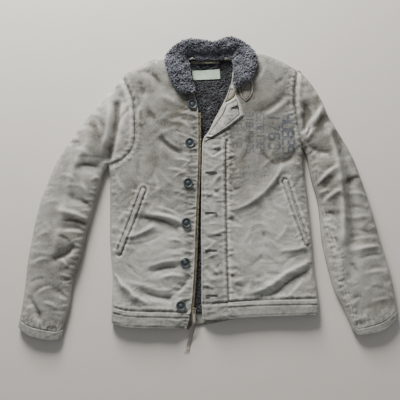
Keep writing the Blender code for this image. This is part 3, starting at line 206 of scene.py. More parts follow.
SLEEVE_CREASES = [
    (-200, 227, -221, 78, 8, 5, -3.0), (-212, 232, -240, 96, 8, 6, 1.8),
    (-169, 222, -202, 173, -3, 4, -2.0), (-291, 77, -245, 77, 4, 4, -1.8),
    (-298, 2, -253, -22, 3, 4, -2.0), (-325, -28, -261, -52, 5, 4.5, 2.0),
    (-328, -52, -267, -61, 4, 4, -1.8), (-320, -76, -269, -82, 3, 4, 1.8),
    (-335, -85, -302, -103, 3, 4, -1.6), (-337, -139, -301, -118, -4, 4.5, -2.8),
    (-325, -141, -312, -159, 2, 4, 1.6), (-338, -215, -317, -224, 2, 4, -1.6),
    (-396, -236, -371, -282, 3, 4, -1.7), (-367, -242, -334, -253, 3, 4, 1.6),
    (-300, 120, -262, 108, 3, 5, 1.2), (-330, 60, -290, 40, 4, 5, 1.2),
    (-366, -10, -330, -4, 3, 5, 1.0), (-386, -90, -352, -76, 3, 5, 1.1),
    (-392, -150, -350, -140, 4, 4.5, 1.4), (-400, -196, -362, -184, 3, 4, -1.3),
    (-380, -220, -344, -206, 3, 4, 1.3), (-330, -176, -300, -186, 2, 4, 1.3),
    (-344, -262, -318, -272, 2, 4, -1.2), (-410, -262, -384, -250, 2, 4, 1.2),
    (-250, 190, -236, 150, 4, 6, 1.2), (-262, 44, -240, 52, 2, 4, 1.4),
    (-276, -112, -298, -104, 2, 4, 1.4), (-310, -236, -330, -228, 2, 4, 1.2),
    (260, 225, 259, 185, 4, 5, -3.0), (292, 225, 266, 183, 4, 5, 2.0),
    (258, 176, 244, 151, 2, 3.5, 1.8), (264, 178, 248, 137, 2, 3, -1.8),
    (268, 168, 252, 146, 2, 3.5, 1.8), (268, 127, 306, 110, -3, 5, -2.2),
    (270, 21, 311, 52, 4, 4, -2.0), (280, 35, 320, 75, 4, 4, 2.0),
    (291, -8, 329, 22, 3, 4, 1.8), (280, -36, 321, -36, 4, 4.5, -2.4),
    (286, -60, 322, -70, 2, 4, 1.6), (292, -92, 326, -100, 3, 4, -1.4),
    (300, -120, 324, -132, 2, 4, 1.4), (304, -160, 328, -152, 2, 4, -1.4),
    (314, -196, 334, -186, 2, 4, 1.3), (328, -230, 346, -220, 2, 4, -1.3),
    (345, 43, 385, 52, 3, 4, -1.3), (350, 14, 396, 10, 3, 4, 1.3),
    (352, -18, 404, -26, 3, 4, -1.3), (356, -46, 410, -40, 3, 4.5, 1.3),
    (354, -72, 402, -80, 3, 4, -1.2), (350, -98, 420, -90, 3, 4, 1.3),
    (362, -119, 427, -111, 3, 4, 1.6), (368, -141, 424, -130, 3, 4, -1.4),
    (351, -151, 369, -172, 3, 5, -1.9), (355, -234, 379, -227, 2, 5, -1.8),
    (380, -176, 436, -168, 3, 4.5, 1.3), (376, -204, 440, -212, 3, 4.5, -1.2),
    (400, -240, 446, -232, 2, 4, 1.2), (320, 190, 300, 150, 4, 7, 1.2),
    (338, 120, 316, 96, 3, 6, -1.2), (296, 270, 268, 250, 3, 6, 1.1),
    (-196, 236, -208, 150, 3, 6.5, -3.6), (-207, 152, -224, 84, 2, 6.5, -3.4),
    (-216, 228, -232, 120, 6, 9, 2.6), (-262, 150, -318, 10, -5, 11, 2.4),
    (-318, 10, -352, -150, 4, 11, 2.2), (252, 234, 250, 160, 3, 6, -3.6),
    (303, 238, 258, 170, 4, 7, 3.0), (316, 226, 276, 160, 5, 8, -2.6),
    (300, 176, 330, 40, 6, 8, 2.4), (330, 40, 334, -96, 3, 8, 2.6),
]

BUTTONHOLES = [62.0, -34.0, -122.0, -227.0]
HOLE_HALF_HEIGHT = 1.1
PLACKET_TOP = 150.0
PLACKET_FROM = 0.78
HOLE_FROM, HOLE_TO = 0.87, 0.955
POCKETS = {"right": (-135, 22, -191, -127, -4.0), "left": (203, 43, 253, -106, 4.0)}
SLEEVE_SEAM = [
    (289, -25), (300, -61), (312, -100), (323, -136), (330, -183), (341, -224), (355, -253),
    (360, -288)]


# Curves, distances and noise

def smooth_curve(points: Sequence[Row], where: int | Array) -> Array:
    """Points along a smooth curve through table points.

    Each stretch is a cubic whose slope at a station is half the step between its neighbours.

    Args:
        points: stations of the curve.
        where: how many even points, or the shares of the length to read.
    Returns:
        One point per share.
    """
    pts = np.array(points, float)
    ext = np.concatenate([2 * pts[:1] - pts[1:2], pts, 2 * pts[-1:] - pts[-2:-1]])
    t = np.linspace(0, 1, 12, endpoint=False)[None, :, None]
    a, b, c, d = (ext[k:len(ext) - 3 + k][:, None] for k in range(4))
    dense = 0.5 * (2 * b + (c - a) * t + (2 * a - 5 * b + 4 * c - d) * t**2
                   + (3 * b - a - 3 * c + d) * t**3)
    dense = np.concatenate([dense.reshape(-1, pts.shape[1]), pts[-1:]])
    along = length_shares(dense)
    shares = np.linspace(0, 1, where) if np.isscalar(where) else np.asarray(where)
    return on_line(dense, along, shares)


def length_shares(points: Array) -> Array:
    """Distance along a line of points as a share of the whole."""
    step = np.linalg.norm(np.diff(points, axis=0), axis=1)
    return np.concatenate([[0], np.cumsum(step)]) / step.sum()


def on_line(line: Array, shares: Array, t: Array) -> Array:
    """Points of a line at the shares t, straight between its own points at their shares."""
    return np.stack([np.interp(t, shares, line[:, k]) for k in range(line.shape[1])], axis=-1)


def unit(vectors: Array) -> Array:
    """Every vector over its own length."""
    return vectors / np.maximum(np.linalg.norm(vectors, axis=-1, keepdims=True), 1e-9)


def square_to(run: Array) -> Array:
    """Plan directions to the right of each run."""
    return np.stack([run[..., 1], -run[..., 0]], axis=-1)


def bell(distance: Array, width: float, power: float = 2) -> Array:
    """Bell curve: exp(-(distance / width) ** power)."""
    return np.exp(-((distance / width) ** power))


def pressed(d: Array, depth: float, width: float, swell: float, at: float, spread: float) -> Array:
    """A groove where d is 0 and a swell where d is at: the difference of two bells."""
    return swell * bell(d - at, spread) - depth * bell(d, width)


def rounded(t: Array, power: float) -> Array:
    """Round profile over t from -1 to 1: the root of 1 - t ** power."""
    return np.sqrt(np.clip(1 - t**power, 0, 1))


def nearest(lines: Sequence[Array], x: Array, y: Array) -> Array:
    """Shortest plan distance from each point to any of the lines."""
    return np.min([distance_to(line, x, y) for line in lines], axis=0)


def distance_to(line: Array, x: Array, y: Array) -> Array:
    """Shortest plan distance from each point to a line of points.

    Args:
        line: its points; x, y: where to measure, of any one shape.
    Returns:
        The least distance to the line's stretches, each found by projecting on it.
    """
    p = np.stack([np.ravel(x), np.ravel(y)], axis=1)
    best = np.full(len(p), 1e9)
    for a, b in zip(line[:-1], line[1:]):
        ab = b - a
        t = np.clip(((p - a) @ ab) / max(ab @ ab, 1e-9), 0, 1)
        best = np.minimum(best, np.linalg.norm(p - a - t[:, None] * ab, axis=1))
    return best.reshape(np.shape(x))


def ease(t: Array) -> Array:
    """Smooth step from 0 to 1."""
    t = np.clip(t, 0, 1)
    return t * t * (3 - 2 * t)


def lengthened(points: Array, reach: float) -> Array:
    """The line made longer at its far end."""
    step = points[-1] - points[-2]
    return np.concatenate([points, [points[-1] + step / np.linalg.norm(step) * reach]])


def soft_noise(x: Array, y: Array, cell: float, seed: int) -> Array:
    """Smooth noise from -1 to 1: a table of random values, eased between its cells.

    Args:
        x, y: plan points; cell: size of a lump in mm; seed: which noise.
    Returns:
        Smooth noise from about -1 to 1.
    """
    table = np.random.default_rng(seed).uniform(-1, 1, (97, 97))
    u, v = np.asarray(x) / cell + 300.0, np.asarray(y) / cell + 300.0
    i, j = np.floor(u).astype(int), np.floor(v).astype(int)
    s, t = ease(u - i), ease(v - j)
    i0, i1, j0, j1 = i % 97, (i + 1) % 97, j % 97, (j + 1) % 97
    low = table[i0, j0] * (1 - s) + table[i1, j0] * s
    high = table[i0, j1] * (1 - s) + table[i1, j1] * s
    return low * (1 - t) + high * t


def crumple(x: Array, y: Array, cell: float, seed: int) -> Array:
    """Thin random ridges: one less the size of two noises, so a ridge runs where they cross 0.

    Args:
        x, y: plan points; cell: size of a lump in mm; seed: which noise.
    Returns:
        Noise with sharp ridges.
    """
    first = np.abs(soft_noise(x, y, cell, seed))
    second = np.abs(soft_noise(x + 0.6 * y, y - 0.6 * x, 0.7 * cell, seed + 7))
    return (1 - 2.2 * first) * 0.6 + (1 - 2.2 * second) * 0.4


# Creases

class Ends(Enum):
    """How a crease dies away along its length."""

    BOTH = "both"
    FAR = "far"


@dataclass
class CreaseSet:
    """Soft ridges and troughs along bowed lines.

    A crease adds its height times exp(-(distance / half width) ** 1.6) times a taper along it.
    """

    rows: Array = field(default_factory=lambda: np.zeros((0, 7)))
    far_only: Array = field(default_factory=lambda: np.zeros(0, bool))

    def add(self, rows: Sequence[Row] | Array, ends: Ends = Ends.BOTH) -> None:
        """Add rows of x0, y0, x1, y1, bow, half width, height."""
        rows = np.asarray(rows, float).reshape(-1, 7)
        self.rows = np.concatenate([self.rows, rows])
        self.far_only = np.concatenate([self.far_only, np.full(len(rows), ends is Ends.FAR)])

    def pucker(self, line: Sequence[Row], *sizes: float, ends: Ends = Ends.FAR,
               **options: float | tuple[int, ...]) -> None:
        """Add short creases off a seam: sizes and options are those of a PuckerRow."""
        self.add(PuckerRow(line, *sizes, **options).rows(), ends)

    def height(self, x: Array, y: Array) -> Array:
        """Sum of all creases at each point.

        Args:
            x, y: plan points of any shape.
        Returns:
            Heights of that shape.
        """
        px, py = np.ravel(x).astype(float), np.ravel(y).astype(float)
        z = np.zeros(len(px))
        for (x0, y0, x1, y1, bow, half, height), far in zip(self.rows, self.far_only):
            pad = 2.6 * half + abs(bow)
            near = np.flatnonzero(
                (px > min(x0, x1) - pad) & (px < max(x0, x1) + pad)
                & (py > min(y0, y1) - pad) & (py < max(y0, y1) + pad))
            if not len(near):
                continue
            run = np.array([x1 - x0, y1 - y0])
            size = max(np.linalg.norm(run), 1e-6)
            run /= size
            along = (px[near] - x0) * run[0] + (py[near] - y0) * run[1]
            off = (px[near] - x0) * -run[1] + (py[near] - y0) * run[0]
            t = np.clip(along / size, 0, 1)
            off = off - bow * 4 * t * (1 - t)
            beyond = along - t * size
            d = np.hypot(off, beyond)
            taper = 1 - t**2 if far else np.sin(np.pi * np.clip(t, 0.02, 0.98)) ** 0.6
            z[near] += height * np.exp(-((d / half) ** 1.6)) * taper
        return z.reshape(np.shape(x))


@dataclass(frozen=True)
class PuckerRow:
    """Short creases that leave a seam, uneven in length, depth and spacing."""

    line: Sequence[Row]
    spacing: float
    length: float
    half: float
    height: float
    seed: int
    sides: tuple[int, ...] = (1, -1)
    lean: float = 0.35
    start: float = 3.5

    def rows(self) -> Array:
        """Rows of x0, y0, x1, y1, bow, half width, height, off the seam to one or both sides.

        Stations are even steps with a random shift; the direction is the seam's normal, turned.
        """
        rng = np.random.default_rng(self.seed)
        dense = smooth_curve(self.line, 400)
        size = np.linalg.norm(np.diff(dense, axis=0), axis=1).sum()
        out = []
        for side in self.sides:
            count = max(2, int(size / self.spacing))
            t = (np.arange(count) + rng.uniform(-0.32, 0.32, count) + 0.5) / count
            at = on_line(dense, np.linspace(0, 1, 400), t)
            held = np.concatenate([dense, np.repeat(dense[-1:], 4, axis=0)])
            run = unit(on_line(held, np.linspace(0, 1.01, 404), t + 0.01) - at)
            turn = rng.normal(0, self.lean, count) + math.pi / 2 * side
            way = np.stack([run[:, 0] * np.cos(turn) - run[:, 1] * np.sin(turn),
                            run[:, 0] * np.sin(turn) + run[:, 1] * np.cos(turn)], axis=1)
            reach = self.length * rng.uniform(0.35, 1.25, count)[:, None]
            start, end = at + self.start * way, at + (self.start + reach) * way
            out.append(np.column_stack([
                start, end, reach[:, 0] * rng.uniform(-0.12, 0.12, count),
                self.half * rng.uniform(0.75, 1.3, count),
                self.height * rng.uniform(0.45, 1.25, count)]))
        return np.concatenate(out)


def scattered(line: Sequence[Row], across: float, count: int, length: float, half: float,
              height: float, seed: int, lean: float = 0.4) -> Array:
    """Creases that cross a band round a line, such as the wrinkles across a sleeve.

    Args:
        line: middle of the band; across: its half width; count: how many creases.
        length, half, height: middle sizes of a crease, each taken uneven; lean: spread in angle.
    Returns:
        Rows of x0, y0, x1, y1, bow, half width, height, ridges and troughs mixed.
    """
    rng = np.random.default_rng(seed)
    dense = smooth_curve(line, 200)
    pick = rng.integers(3, 196, count)
    run = unit(dense[pick + 3] - dense[pick - 3])
    normal = -square_to(run)
    centre = dense[pick] + normal * rng.uniform(-1, 1, (count, 1)) * across
    turn = rng.normal(0, lean, count)[:, None]
    way = normal * np.cos(turn) + run * np.sin(turn)
    reach = length * rng.uniform(0.4, 1.4, (count, 1)) / 2
    sign = np.where(rng.random(count) < 0.6, 1.0, -1.0)
    return np.column_stack([
        centre - way * reach, centre + way * reach, reach[:, 0] * rng.uniform(-0.3, 0.3, count),
        half * rng.uniform(0.7, 1.4, count), sign * height * rng.uniform(0.4, 1.2, count)])


# The laid jacket's height

class Layer(Enum):
    """Which cloth a height is wanted for."""

    BODY = "body"
    SLEEVE = "sleeve"


class LaidForm:
    """Height of the laid jacket: the solids' form, then creases, puckers and crumples."""

    top_roll = 38.0
    sleeve_roll = 48.0
    bottom_roll = 9.0
    edge_drop = 8.0
    edge_drop_width = 34.0
    sleeve_blend = 60.0
    ridge_gain, trough_gain, crease_width = 1.45, 1.0, 1.15

    def __init__(self) -> None:
        """Prepare the silhouettes and the creases."""
        self.silhouettes = [line for side in (RIGHT, LEFT) for line in (
            lengthened(np.concatenate([
                smooth_curve(side.shoulder, 14),
                smooth_curve([*side.sleeve_outer, side.cuff_end[0]], 40)]), 60),
            lengthened(smooth_curve([*side.sleeve_inner, side.cuff_end[-1]], 30), 60),
            lengthened(smooth_curve(side.side, 24), 60))]
        self.edges = [smooth_curve(side.edge, 60) for side in (RIGHT, LEFT)]
        self.grooves = [smooth_curve([(x, y + 38.5) for x, y in side.hem], 50) for side in (RIGHT, LEFT)]
        self.grooves.append(smooth_curve([(67, -236), (64.5, -150), (61.5, 0), (61.5, 120), (64, 140)], 40))
        self.armholes = [smooth_curve(side.armhole, 30) for side in (RIGHT, LEFT)]
        self.seams = self.armholes + self.edges + self.grooves + [
            smooth_curve(side.side, 16) for side in (RIGHT, LEFT)] + [
            smooth_curve(side.sleeve_inner, 20) for side in (RIGHT, LEFT)] + [
            np.array([(x0, y0), (x1, y1)], float) for x0, y0, x1, y1, _ in POCKETS.values()] + [
            smooth_curve([side.sleeve_outer[-1], side.sleeve_inner[-1]], 4) for side in (RIGHT, LEFT)] + [
            smooth_curve(SLEEVE_SEAM, 20)]
        self.creases = {Layer.BODY: CreaseSet(), Layer.SLEEVE: CreaseSet()}
        self.crease_body(self.creases[Layer.BODY])
        self.crease_sleeves(self.creases[Layer.SLEEVE])

    def weigh(self, cloth: CreaseSet) -> None:
        """Set how strong the placed creases are: ridges stand out more than troughs."""
        cloth.rows[:, 6] *= np.where(cloth.rows[:, 6] > 0, self.ridge_gain, self.trough_gain)
        cloth.rows[:, 5] *= self.crease_width

    def crease_body(self, cloth: CreaseSet) -> None:
        """Creases and seam puckers of the fronts."""
        cloth.add(BODY_CREASES)
        self.weigh(cloth)
        right_low = [p for p in RIGHT.edge if p[1] < 240]
        cloth.pucker(right_low, 8.5, 30, 2.8, 1.6, 11, sides=(1,), lean=0.22)
        cloth.pucker([(-36, -290), (-30, -200), (-24, 60), (-16, 220)], 15, 34, 3.4, 1.2, 12,
                     sides=(1,), ends=Ends.BOTH)
        left_low = [p for p in LEFT.edge if p[1] < 150]
        cloth.pucker(left_low, 9, 15, 2.6, 1.3, 13, sides=(-1,), lean=0.3)
        line = [(66, -282), (64, -150), (61, 0), (61, 150), (66, 170)]
        cloth.pucker(line, 10, 24, 2.8, 1.7, 14, lean=0.4)
        cloth.add(scattered([(33, -270), (33, 140)], 12, 36, 40, 3.6, 2.4, 15, 0.5))
        cloth.add(scattered([(84, -240), (84, 130)], 14, 26, 40, 4.2, 1.1, 16, 0.6))
        for k, (x0, y0, x1, y1, _) in enumerate(POCKETS.values()):
            cloth.pucker([(x0, y0), (x1, y1)], 13, 20, 3.2, 1.25, 21 + k, start=7.5)
        for k, (side, way) in enumerate(((RIGHT, 1), (LEFT, -1))):
            hem = [(x, y + 36) for x, y in side.hem]
            cloth.pucker(hem, 12, 15, 3.0, 0.8, 31 + k, lean=0.25)
            hem = [(x, y + 3) for x, y in side.hem]
            cloth.pucker(hem, 13, 18, 3.0, 0.6, 36 + k, sides=(way,), lean=0.2)
            cloth.pucker(side.armhole, 11, 20, 3.2, 0.9, 41 + k, sides=(way, -way))
            cloth.pucker(side.side, 17, 26, 4.2, 1.2, 51 + k, sides=(-way, way))
            cloth.pucker(side.shoulder, 15, 24, 4.0, 1.0, 61 + k, sides=(-1, 1))
        cloth.add(scattered([(-120, 320), (-105, 100), (-110, -250)], 70, 26, 60, 7.0, 0.9, 71, 0.9))
        cloth.add(scattered([(150, 320), (165, 100), (170, -240)], 80, 26, 60, 7.0, 0.9, 72, 0.9))

    def crease_sleeves(self, cloth: CreaseSet) -> None:
        """Creases and seam puckers of the sleeves."""
        cloth.add(SLEEVE_CREASES)
        self.weigh(cloth)
        middles = ([(-230, 200), (-300, 60), (-340, -80), (-365, -290)],
                   [(280, 220), (325, 60), (355, -100), (405, -290)])
        for k, (side, middle) in enumerate(zip((RIGHT, LEFT), middles)):
            cloth.pucker(side.armhole, 12, 22, 3.4, 1.0, 81 + k)
            cloth.pucker(side.sleeve_inner, 15, 34, 4.2, 1.5, 85 + k)
            cloth.pucker(side.sleeve_outer, 20, 26, 5.0, 1.0, 89 + k)
            cuff = [side.sleeve_outer[-1], side.sleeve_inner[-1]]
            cloth.pucker(cuff, 10, 15, 3.0, 0.9, 93 + k, lean=0.2)
            cloth.add(scattered(middle, 48, 26, 56, 6.5, 1.1, 97 + k, 0.35))
        cloth.pucker(SLEEVE_SEAM, 10, 14, 2.8, 1.1, 101)

    def inward(self, x: Array, y: Array) -> Array:
        """Distance in from the outline of the laid jacket."""
        return nearest(self.silhouettes, x, y)

    def coarse(self, x: Array, y: Array, layer: Layer) -> tuple[Array, Array]:
        """Height of the solids' cloth, and the distance in from the outline.

        A quarter-round rise from the seam to the crown, less the drop at the front edges, plus the
        large folds, which fade out toward the outline.

        Args:
            x, y: plan points; layer: body or sleeve.
        Returns:
            The height, and the distance to the outline.
        """
        rows = np.array(CROWNS[::-1])
        body = np.interp(y, rows[:, 0], rows[:, 1])
        arm = np.interp(y, rows[:, 0], rows[:, 2])
        d = self.inward(x, y)
        share = np.zeros(np.shape(x))
        if layer is Layer.SLEEVE:
            share = ease(nearest(self.armholes, x, y) / self.sleeve_blend)
        crown = body + (arm - body) * share
        roll = self.top_roll + (self.sleeve_roll - self.top_roll) * share
        base = SEAM_HEIGHT + SEAM_WALL
        rise = rounded(1 - np.clip(d / roll, 0, 1), 2)
        drop = self.edge_drop * (1 - ease(nearest(self.edges, x, y) / self.edge_drop_width))
        folds = np.zeros(np.shape(x))
        for x0, y0, x1, y1, half, height in BODY_FOLDS + SLEEVE_FOLDS:
            folds += height * bell(distance_to(np.array([(x0, y0), (x1, y1)], float), x, y), half)
        z = base + (crown - base) * rise + (folds - drop) * ease(d / 26.0)
        return np.maximum(z, base), d

    def detail(self, x: Array, y: Array, d: Array, layer: Layer) -> Array:
        """Creases, seam grooves and crumples, which fade out at the very outline.

        Args:
            x, y: plan points; d: distance to the outline; layer: body or sleeve.
        Returns:
            What is added to the coarse height.
        """
        z = self.creases[layer].height(x, y)
        z += pressed(nearest(self.armholes, x, y), 2.6, 3.6, 1.2, 9.0, 4.5)
        if layer is Layer.BODY:
            for x0, y0, x1, y1, _ in POCKETS.values():
                gap = distance_to(np.array([(x0, y0), (x1, y1)], float), x, y)
                z += pressed(gap - 6.4, 1.2, 2.2, 0.8, 5.6, 3.5)
            z += pressed(nearest(self.grooves, x, y), 2.0, 2.8, 0.8, 7.0, 3.5)
        z += 1.1 * soft_noise(x, y, 64, 5) + 0.4 * soft_noise(x, y, 27, 6)
        pinched = 0.2 + 0.8 * bell(nearest(self.seams, x, y), 24.0)
        wx = x + 16 * soft_noise(x, y, 62, 23) + 5 * soft_noise(x, y, 21, 24)
        wy = y + 20 * soft_noise(x, y, 70, 25) + 5 * soft_noise(x, y, 23, 26)
        creased = 0.16 + 0.94 * ease((120 - y) / 260) if layer is Layer.BODY else 0.36
        z += creased * (0.9 * crumple(0.36 * wx + 0.1 * wy, wy - 0.12 * wx, 23, 27)
                        + 0.38 * crumple(0.4 * wx, wy, 10.5, 28))
        z += pinched * (0.5 * crumple(wx, wy, 15, 8) + 0.34 * crumple(0.5 * wx, wy, 6.5, 9))
        if layer is Layer.SLEEVE:
            seam = distance_to(smooth_curve(SLEEVE_SEAM, 40), x, y)
            z += 1.2 * bell(seam, 4.5, 4) - 0.9 * bell(seam, 1.4)
        return z * ease(d / 11.0)

    def top(self, x: Array, y: Array, layer: Layer) -> Array:
        """Height of the finished cloth."""
        z, d = self.coarse(x, y, layer)
        return np.maximum(z + self.detail(x, y, d, layer), SEAM_HEIGHT + SEAM_WALL)

    def finished(self, x: Array, y: Array, layer: Layer) -> tuple[Array, Array]:
        """Height of the finished cloth on a whole grid, and the rubbing and painted shade of each of its
        points.

        Args:
            x, y: plan points; layer: body or sleeve.
        Returns:
            Heights, and rubbing with painted shade.
        """
        z, d = self.coarse(x, y, layer)
        detail = self.detail(x, y, d, layer)
        # Ridges paler from rubbing; troughs and fold hollows darker as painted shade.
        wear_and_shade = wear_and_shade_from_relief(detail + 0.35 * (z - blurred(z, 60)))
        return np.maximum(z + detail, SEAM_HEIGHT + SEAM_WALL), wear_and_shade

    def bottom(self, x: Array, y: Array) -> Array:
        """Height of the cloth that lies on the ground: flat, curled up at the outline."""
        rise = rounded(1 - np.clip(self.inward(x, y) / self.bottom_roll, 0, 1), 2)
        return (SEAM_HEIGHT - SEAM_GAP - SEAM_WALL) * (1 - rise)


FORM = LaidForm()


# Grids

def coons(left: Array, right: Array, low: Array, high: Array, u: Array, v: Array,
          hold: float = 1.0) -> Array:
    """Plan points of a panel between its four edges.

    Lines join the left and right edges; each end's bend is added, and fades with the distance
    from that end to the power of hold.

    Args:
        left, right, low, high: the four borders; u, v: shares across and along; hold: how
        fast the bend of an end fades.
    Returns:
        Grid of plan points.
    """
    u, v = u[:, None, None], v[None, :, None]
    across = (1 - u) * left[None] + u * right[None]
    low_bend = low[:, None] - ((1 - u) * low[0] + u * low[-1])
    high_bend = high[:, None] - ((1 - u) * high[0] + u * high[-1])
    return across + (1 - v) ** hold * low_bend + v**hold * high_bend


def with_height(plan: Array, height: Array) -> Array:
    """Plan points and heights as one grid."""
    return np.concatenate([plan, height[..., None]], axis=-1)


def grid_normals(grid: Array) -> Array:
    """Unit directions square to a grid, up for a level one."""
    a, b = np.gradient(grid, axis=0), np.gradient(grid, axis=1)
    face = unit(np.cross(a, b))
    return face if face[..., 2].sum() > 0 else -face


def blurred(values: Array, rounds: int) -> Array:
    """Values averaged with their neighbours on the grid, over and over.

    Args:
        values: a grid of numbers; rounds: how many times it is averaged.
    Returns:
        The smoother grid.
    """
    out = values.astype(float)
    for _ in range(rounds):
        pad = np.pad(out, [(1, 1), (1, 1)] + [(0, 0)] * (out.ndim - 2), mode="edge")
        out = (pad[:-2, 1:-1] + pad[2:, 1:-1] + pad[1:-1, :-2] + pad[1:-1, 2:] + 4 * out) / 8
    return out


def sampled(grid: Array, i: Array, j: Array) -> Array:
    """Values of a grid at fractional places across and along, straight between its points.

    Args:
        grid: points; i, j: places in it, fractions allowed.
    Returns:
        Points between the four nearest ones.
    """
    i, j = np.clip(i, 0, grid.shape[0] - 1), np.clip(j, 0, grid.shape[1] - 1)
    a = np.minimum(np.floor(i).astype(int), grid.shape[0] - 2)
    b = np.minimum(np.floor(j).astype(int), grid.shape[1] - 2)
    s, t = (i - a)[..., None], (j - b)[..., None]
    low = grid[a, b] * (1 - s) + grid[a + 1, b] * s
    high = grid[a, b + 1] * (1 - s) + grid[a + 1, b + 1] * s
    return low * (1 - t) + high * t


def to_metres(points: Array) -> Array:
    """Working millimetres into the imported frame."""
    return (np.asarray(points, float) - CENTRE) * MM


class Piece:
    """One finished object: its points, faces, attributes and finish."""

    def __init__(self, name: str, points: Array, faces: Array | list, body: str = JACKET) -> None:
        """Make the mesh.

        Args:
            name: the object's name; points: working millimetres; faces: rows of corners;
            body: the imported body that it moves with.
        """
        mesh = bpy.data.meshes.new(name)
        mesh.from_pydata(to_metres(points), [], faces if isinstance(faces, list) else faces.tolist())
        mesh.update()
        self.obj = bpy.data.objects.new(name, mesh)
        bpy.context.scene.collection.objects.link(self.obj)
        mesh.polygons.foreach_set("use_smooth", np.ones(len(mesh.polygons), bool))
        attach(self.obj, body)
        count = int(sum(len(p) - 2 for p in faces)) if isinstance(faces, list) else (
            len(faces) * (np.shape(faces)[1] - 2))
        LOG.info("%s: %d triangles", name, count)

    def attribute(self, name: str, values: Array) -> "Piece":
        """Store one number per point."""
        layer = self.obj.data.attributes.new(name, "FLOAT", "POINT")
        layer.data.foreach_set("value", np.ravel(values).astype(np.float32))
        return self

    def unwrap(self, uv: Array) -> "Piece":
        """Store a flat place in metres for every point, as the piece's own map."""
        mesh = self.obj.data
        corner = np.zeros(len(mesh.loops), np.int32)
        mesh.loops.foreach_get("vertex_index", corner)
        layer = mesh.uv_layers.new(name="cloth")
        layer.data.foreach_set("uv", uv.reshape(-1, 2)[corner].astype(np.float32).ravel())
        return self

    def finish(self, material: bpy.types.Material, slot: str, replaces: Sequence[str] = ()) -> "Piece":
        """Give the material and hide the nodes that this piece stands for; the slot is not used."""
        self.obj.data.materials.append(material)
        if replaces:
            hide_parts(*replaces)
        return self


def quads(nu: int, nv: int) -> Array:
    """Corner numbers of all cells of a grid."""
    at = np.arange(nu * nv).reshape(nu, nv)
    return np.stack([at[:-1, :-1], at[1:, :-1], at[1:, 1:], at[:-1, 1:]], axis=-1).reshape(-1, 4)


def border(nu: int, nv: int) -> Array:
    """Numbers of the points round a grid, in order."""
    at = np.arange(nu * nv).reshape(nu, nv)
    return np.concatenate([at[:-1, 0], at[-1, :-1], at[:0:-1, -1], at[0, :0:-1]])


def signed_volume(points: Array, faces: Array) -> float:
    """Volume inside a closed mesh, below zero where its faces point inwards.

    Args:
        points, faces: a closed body.
    Returns:
        Its volume, below 0 where its faces point inwards.
    """
    a = points[faces[:, 0]]
    total = 0.0
    for k in range(1, faces.shape[1] - 1):
        total += float((a * np.cross(points[faces[:, k]], points[faces[:, k + 1]])).sum())
    return total / 6


def outward(points: Array, faces: Array) -> Array:
    """The faces of a closed body, turned round where they point inwards."""
    return faces[:, ::-1] if signed_volume(points, faces) < 0 else faces


def ring_quads(rings: int, sides: int, closed: bool = False) -> Array:
    """Cells of a tube.

    Args:
        rings, sides: how many rings it has and how many points each; closed: whether the last
        ring meets the first.
    Returns:
        Four corner numbers a cell.
    """
    at = np.arange(rings * sides).reshape(rings, sides)
    at = np.concatenate([at, at[:1]]) if closed else at
    after = np.roll(at, -1, axis=1)
    return np.stack([at[:-1], after[:-1], after[1:], at[1:]], axis=-1).reshape(-1, 4)


def square_tube(rings: int) -> Array:
    """Faces of a four-sided tube with both ends capped."""
    caps = np.array([[3, 2, 1, 0], np.arange(4) + 4 * (rings - 1)])
    return np.concatenate([ring_quads(rings, 4), caps])


def copied(one: Array, count: int, step: int) -> Array:
    """One small body's faces for each of count bodies, whose points are step numbers apart."""
    return (one[None] + (np.arange(count) * step)[:, None, None]).reshape(-1, one.shape[1])


def raised(grid: Array, up: Array | float) -> Array:
    """The grid moved up."""
    return np.concatenate([grid[..., :2], grid[..., 2:] + np.asarray(up, float)[..., None]], axis=-1)


def closed_shell(outer: Array, inner: Array, holes: Array | None = None) -> tuple[Array, Array]:
    """Closed body between two grids, with a rounded rim.

    The rim's middle ring is half way between the two borders, pushed out by RIM times the wall.

    Args:
        outer, inner: grids of the same size; holes: cells left open.
    Returns:
        Points and quads, pointing outwards.
    """
    nu, nv = outer.shape[:2]
    count = nu * nv
    a, b = outer.reshape(-1, 3), inner.reshape(-1, 3)
    ring = border(nu, nv)
    at = np.arange(count).reshape(nu, nv)
    inside = np.pad(at[1:-1, 1:-1], 1, mode="edge").ravel()[ring]
    wall = np.linalg.norm(a[ring] - b[ring], axis=1, keepdims=True)
    middle = (a[ring] + b[ring]) / 2 + unit(a[ring] - a[inside]) * RIM * wall
    top = quads(nu, nv)
    low = top[:, ::-1] + count
    m = 2 * count + np.arange(len(ring))
    nxt = np.roll(np.arange(len(ring)), -1)
    faces = [np.stack([ring[nxt], ring, m, m[nxt]], axis=1),
             np.stack([m[nxt], m, ring + count, ring[nxt] + count], axis=1)]
    if holes is not None:
        keep = ~holes.ravel()
        top, low = top[keep], low[keep]
        faces.append(hole_walls(holes, count))
    points = np.concatenate([a, b, middle])
    return points, outward(points, np.concatenate([top, low, *faces]))


def hole_walls(holes: Array, count: int) -> Array:
    """Walls round the open cells of a shell, from the upper grid to the lower.

    Args:
        holes: open cells; count: points of one grid.
    Returns:
        Faces that join both grids round each hole.
    """
    nu, nv = holes.shape[0] + 1, holes.shape[1] + 1
    at = np.arange(nu * nv).reshape(nu, nv)
    walls = []
    for i, j in np.argwhere(holes):
        a, b, c, d = at[i, j], at[i + 1, j], at[i + 1, j + 1], at[i, j + 1]
        for (p, q), (di, dj) in (((a, b), (0, -1)), ((b, c), (1, 0)), ((c, d), (0, 1)), ((d, a), (-1, 0))):
            if not holes[i + di, j + dj]:
                walls.append((p, q, q + count, p + count))
    return np.array(walls)


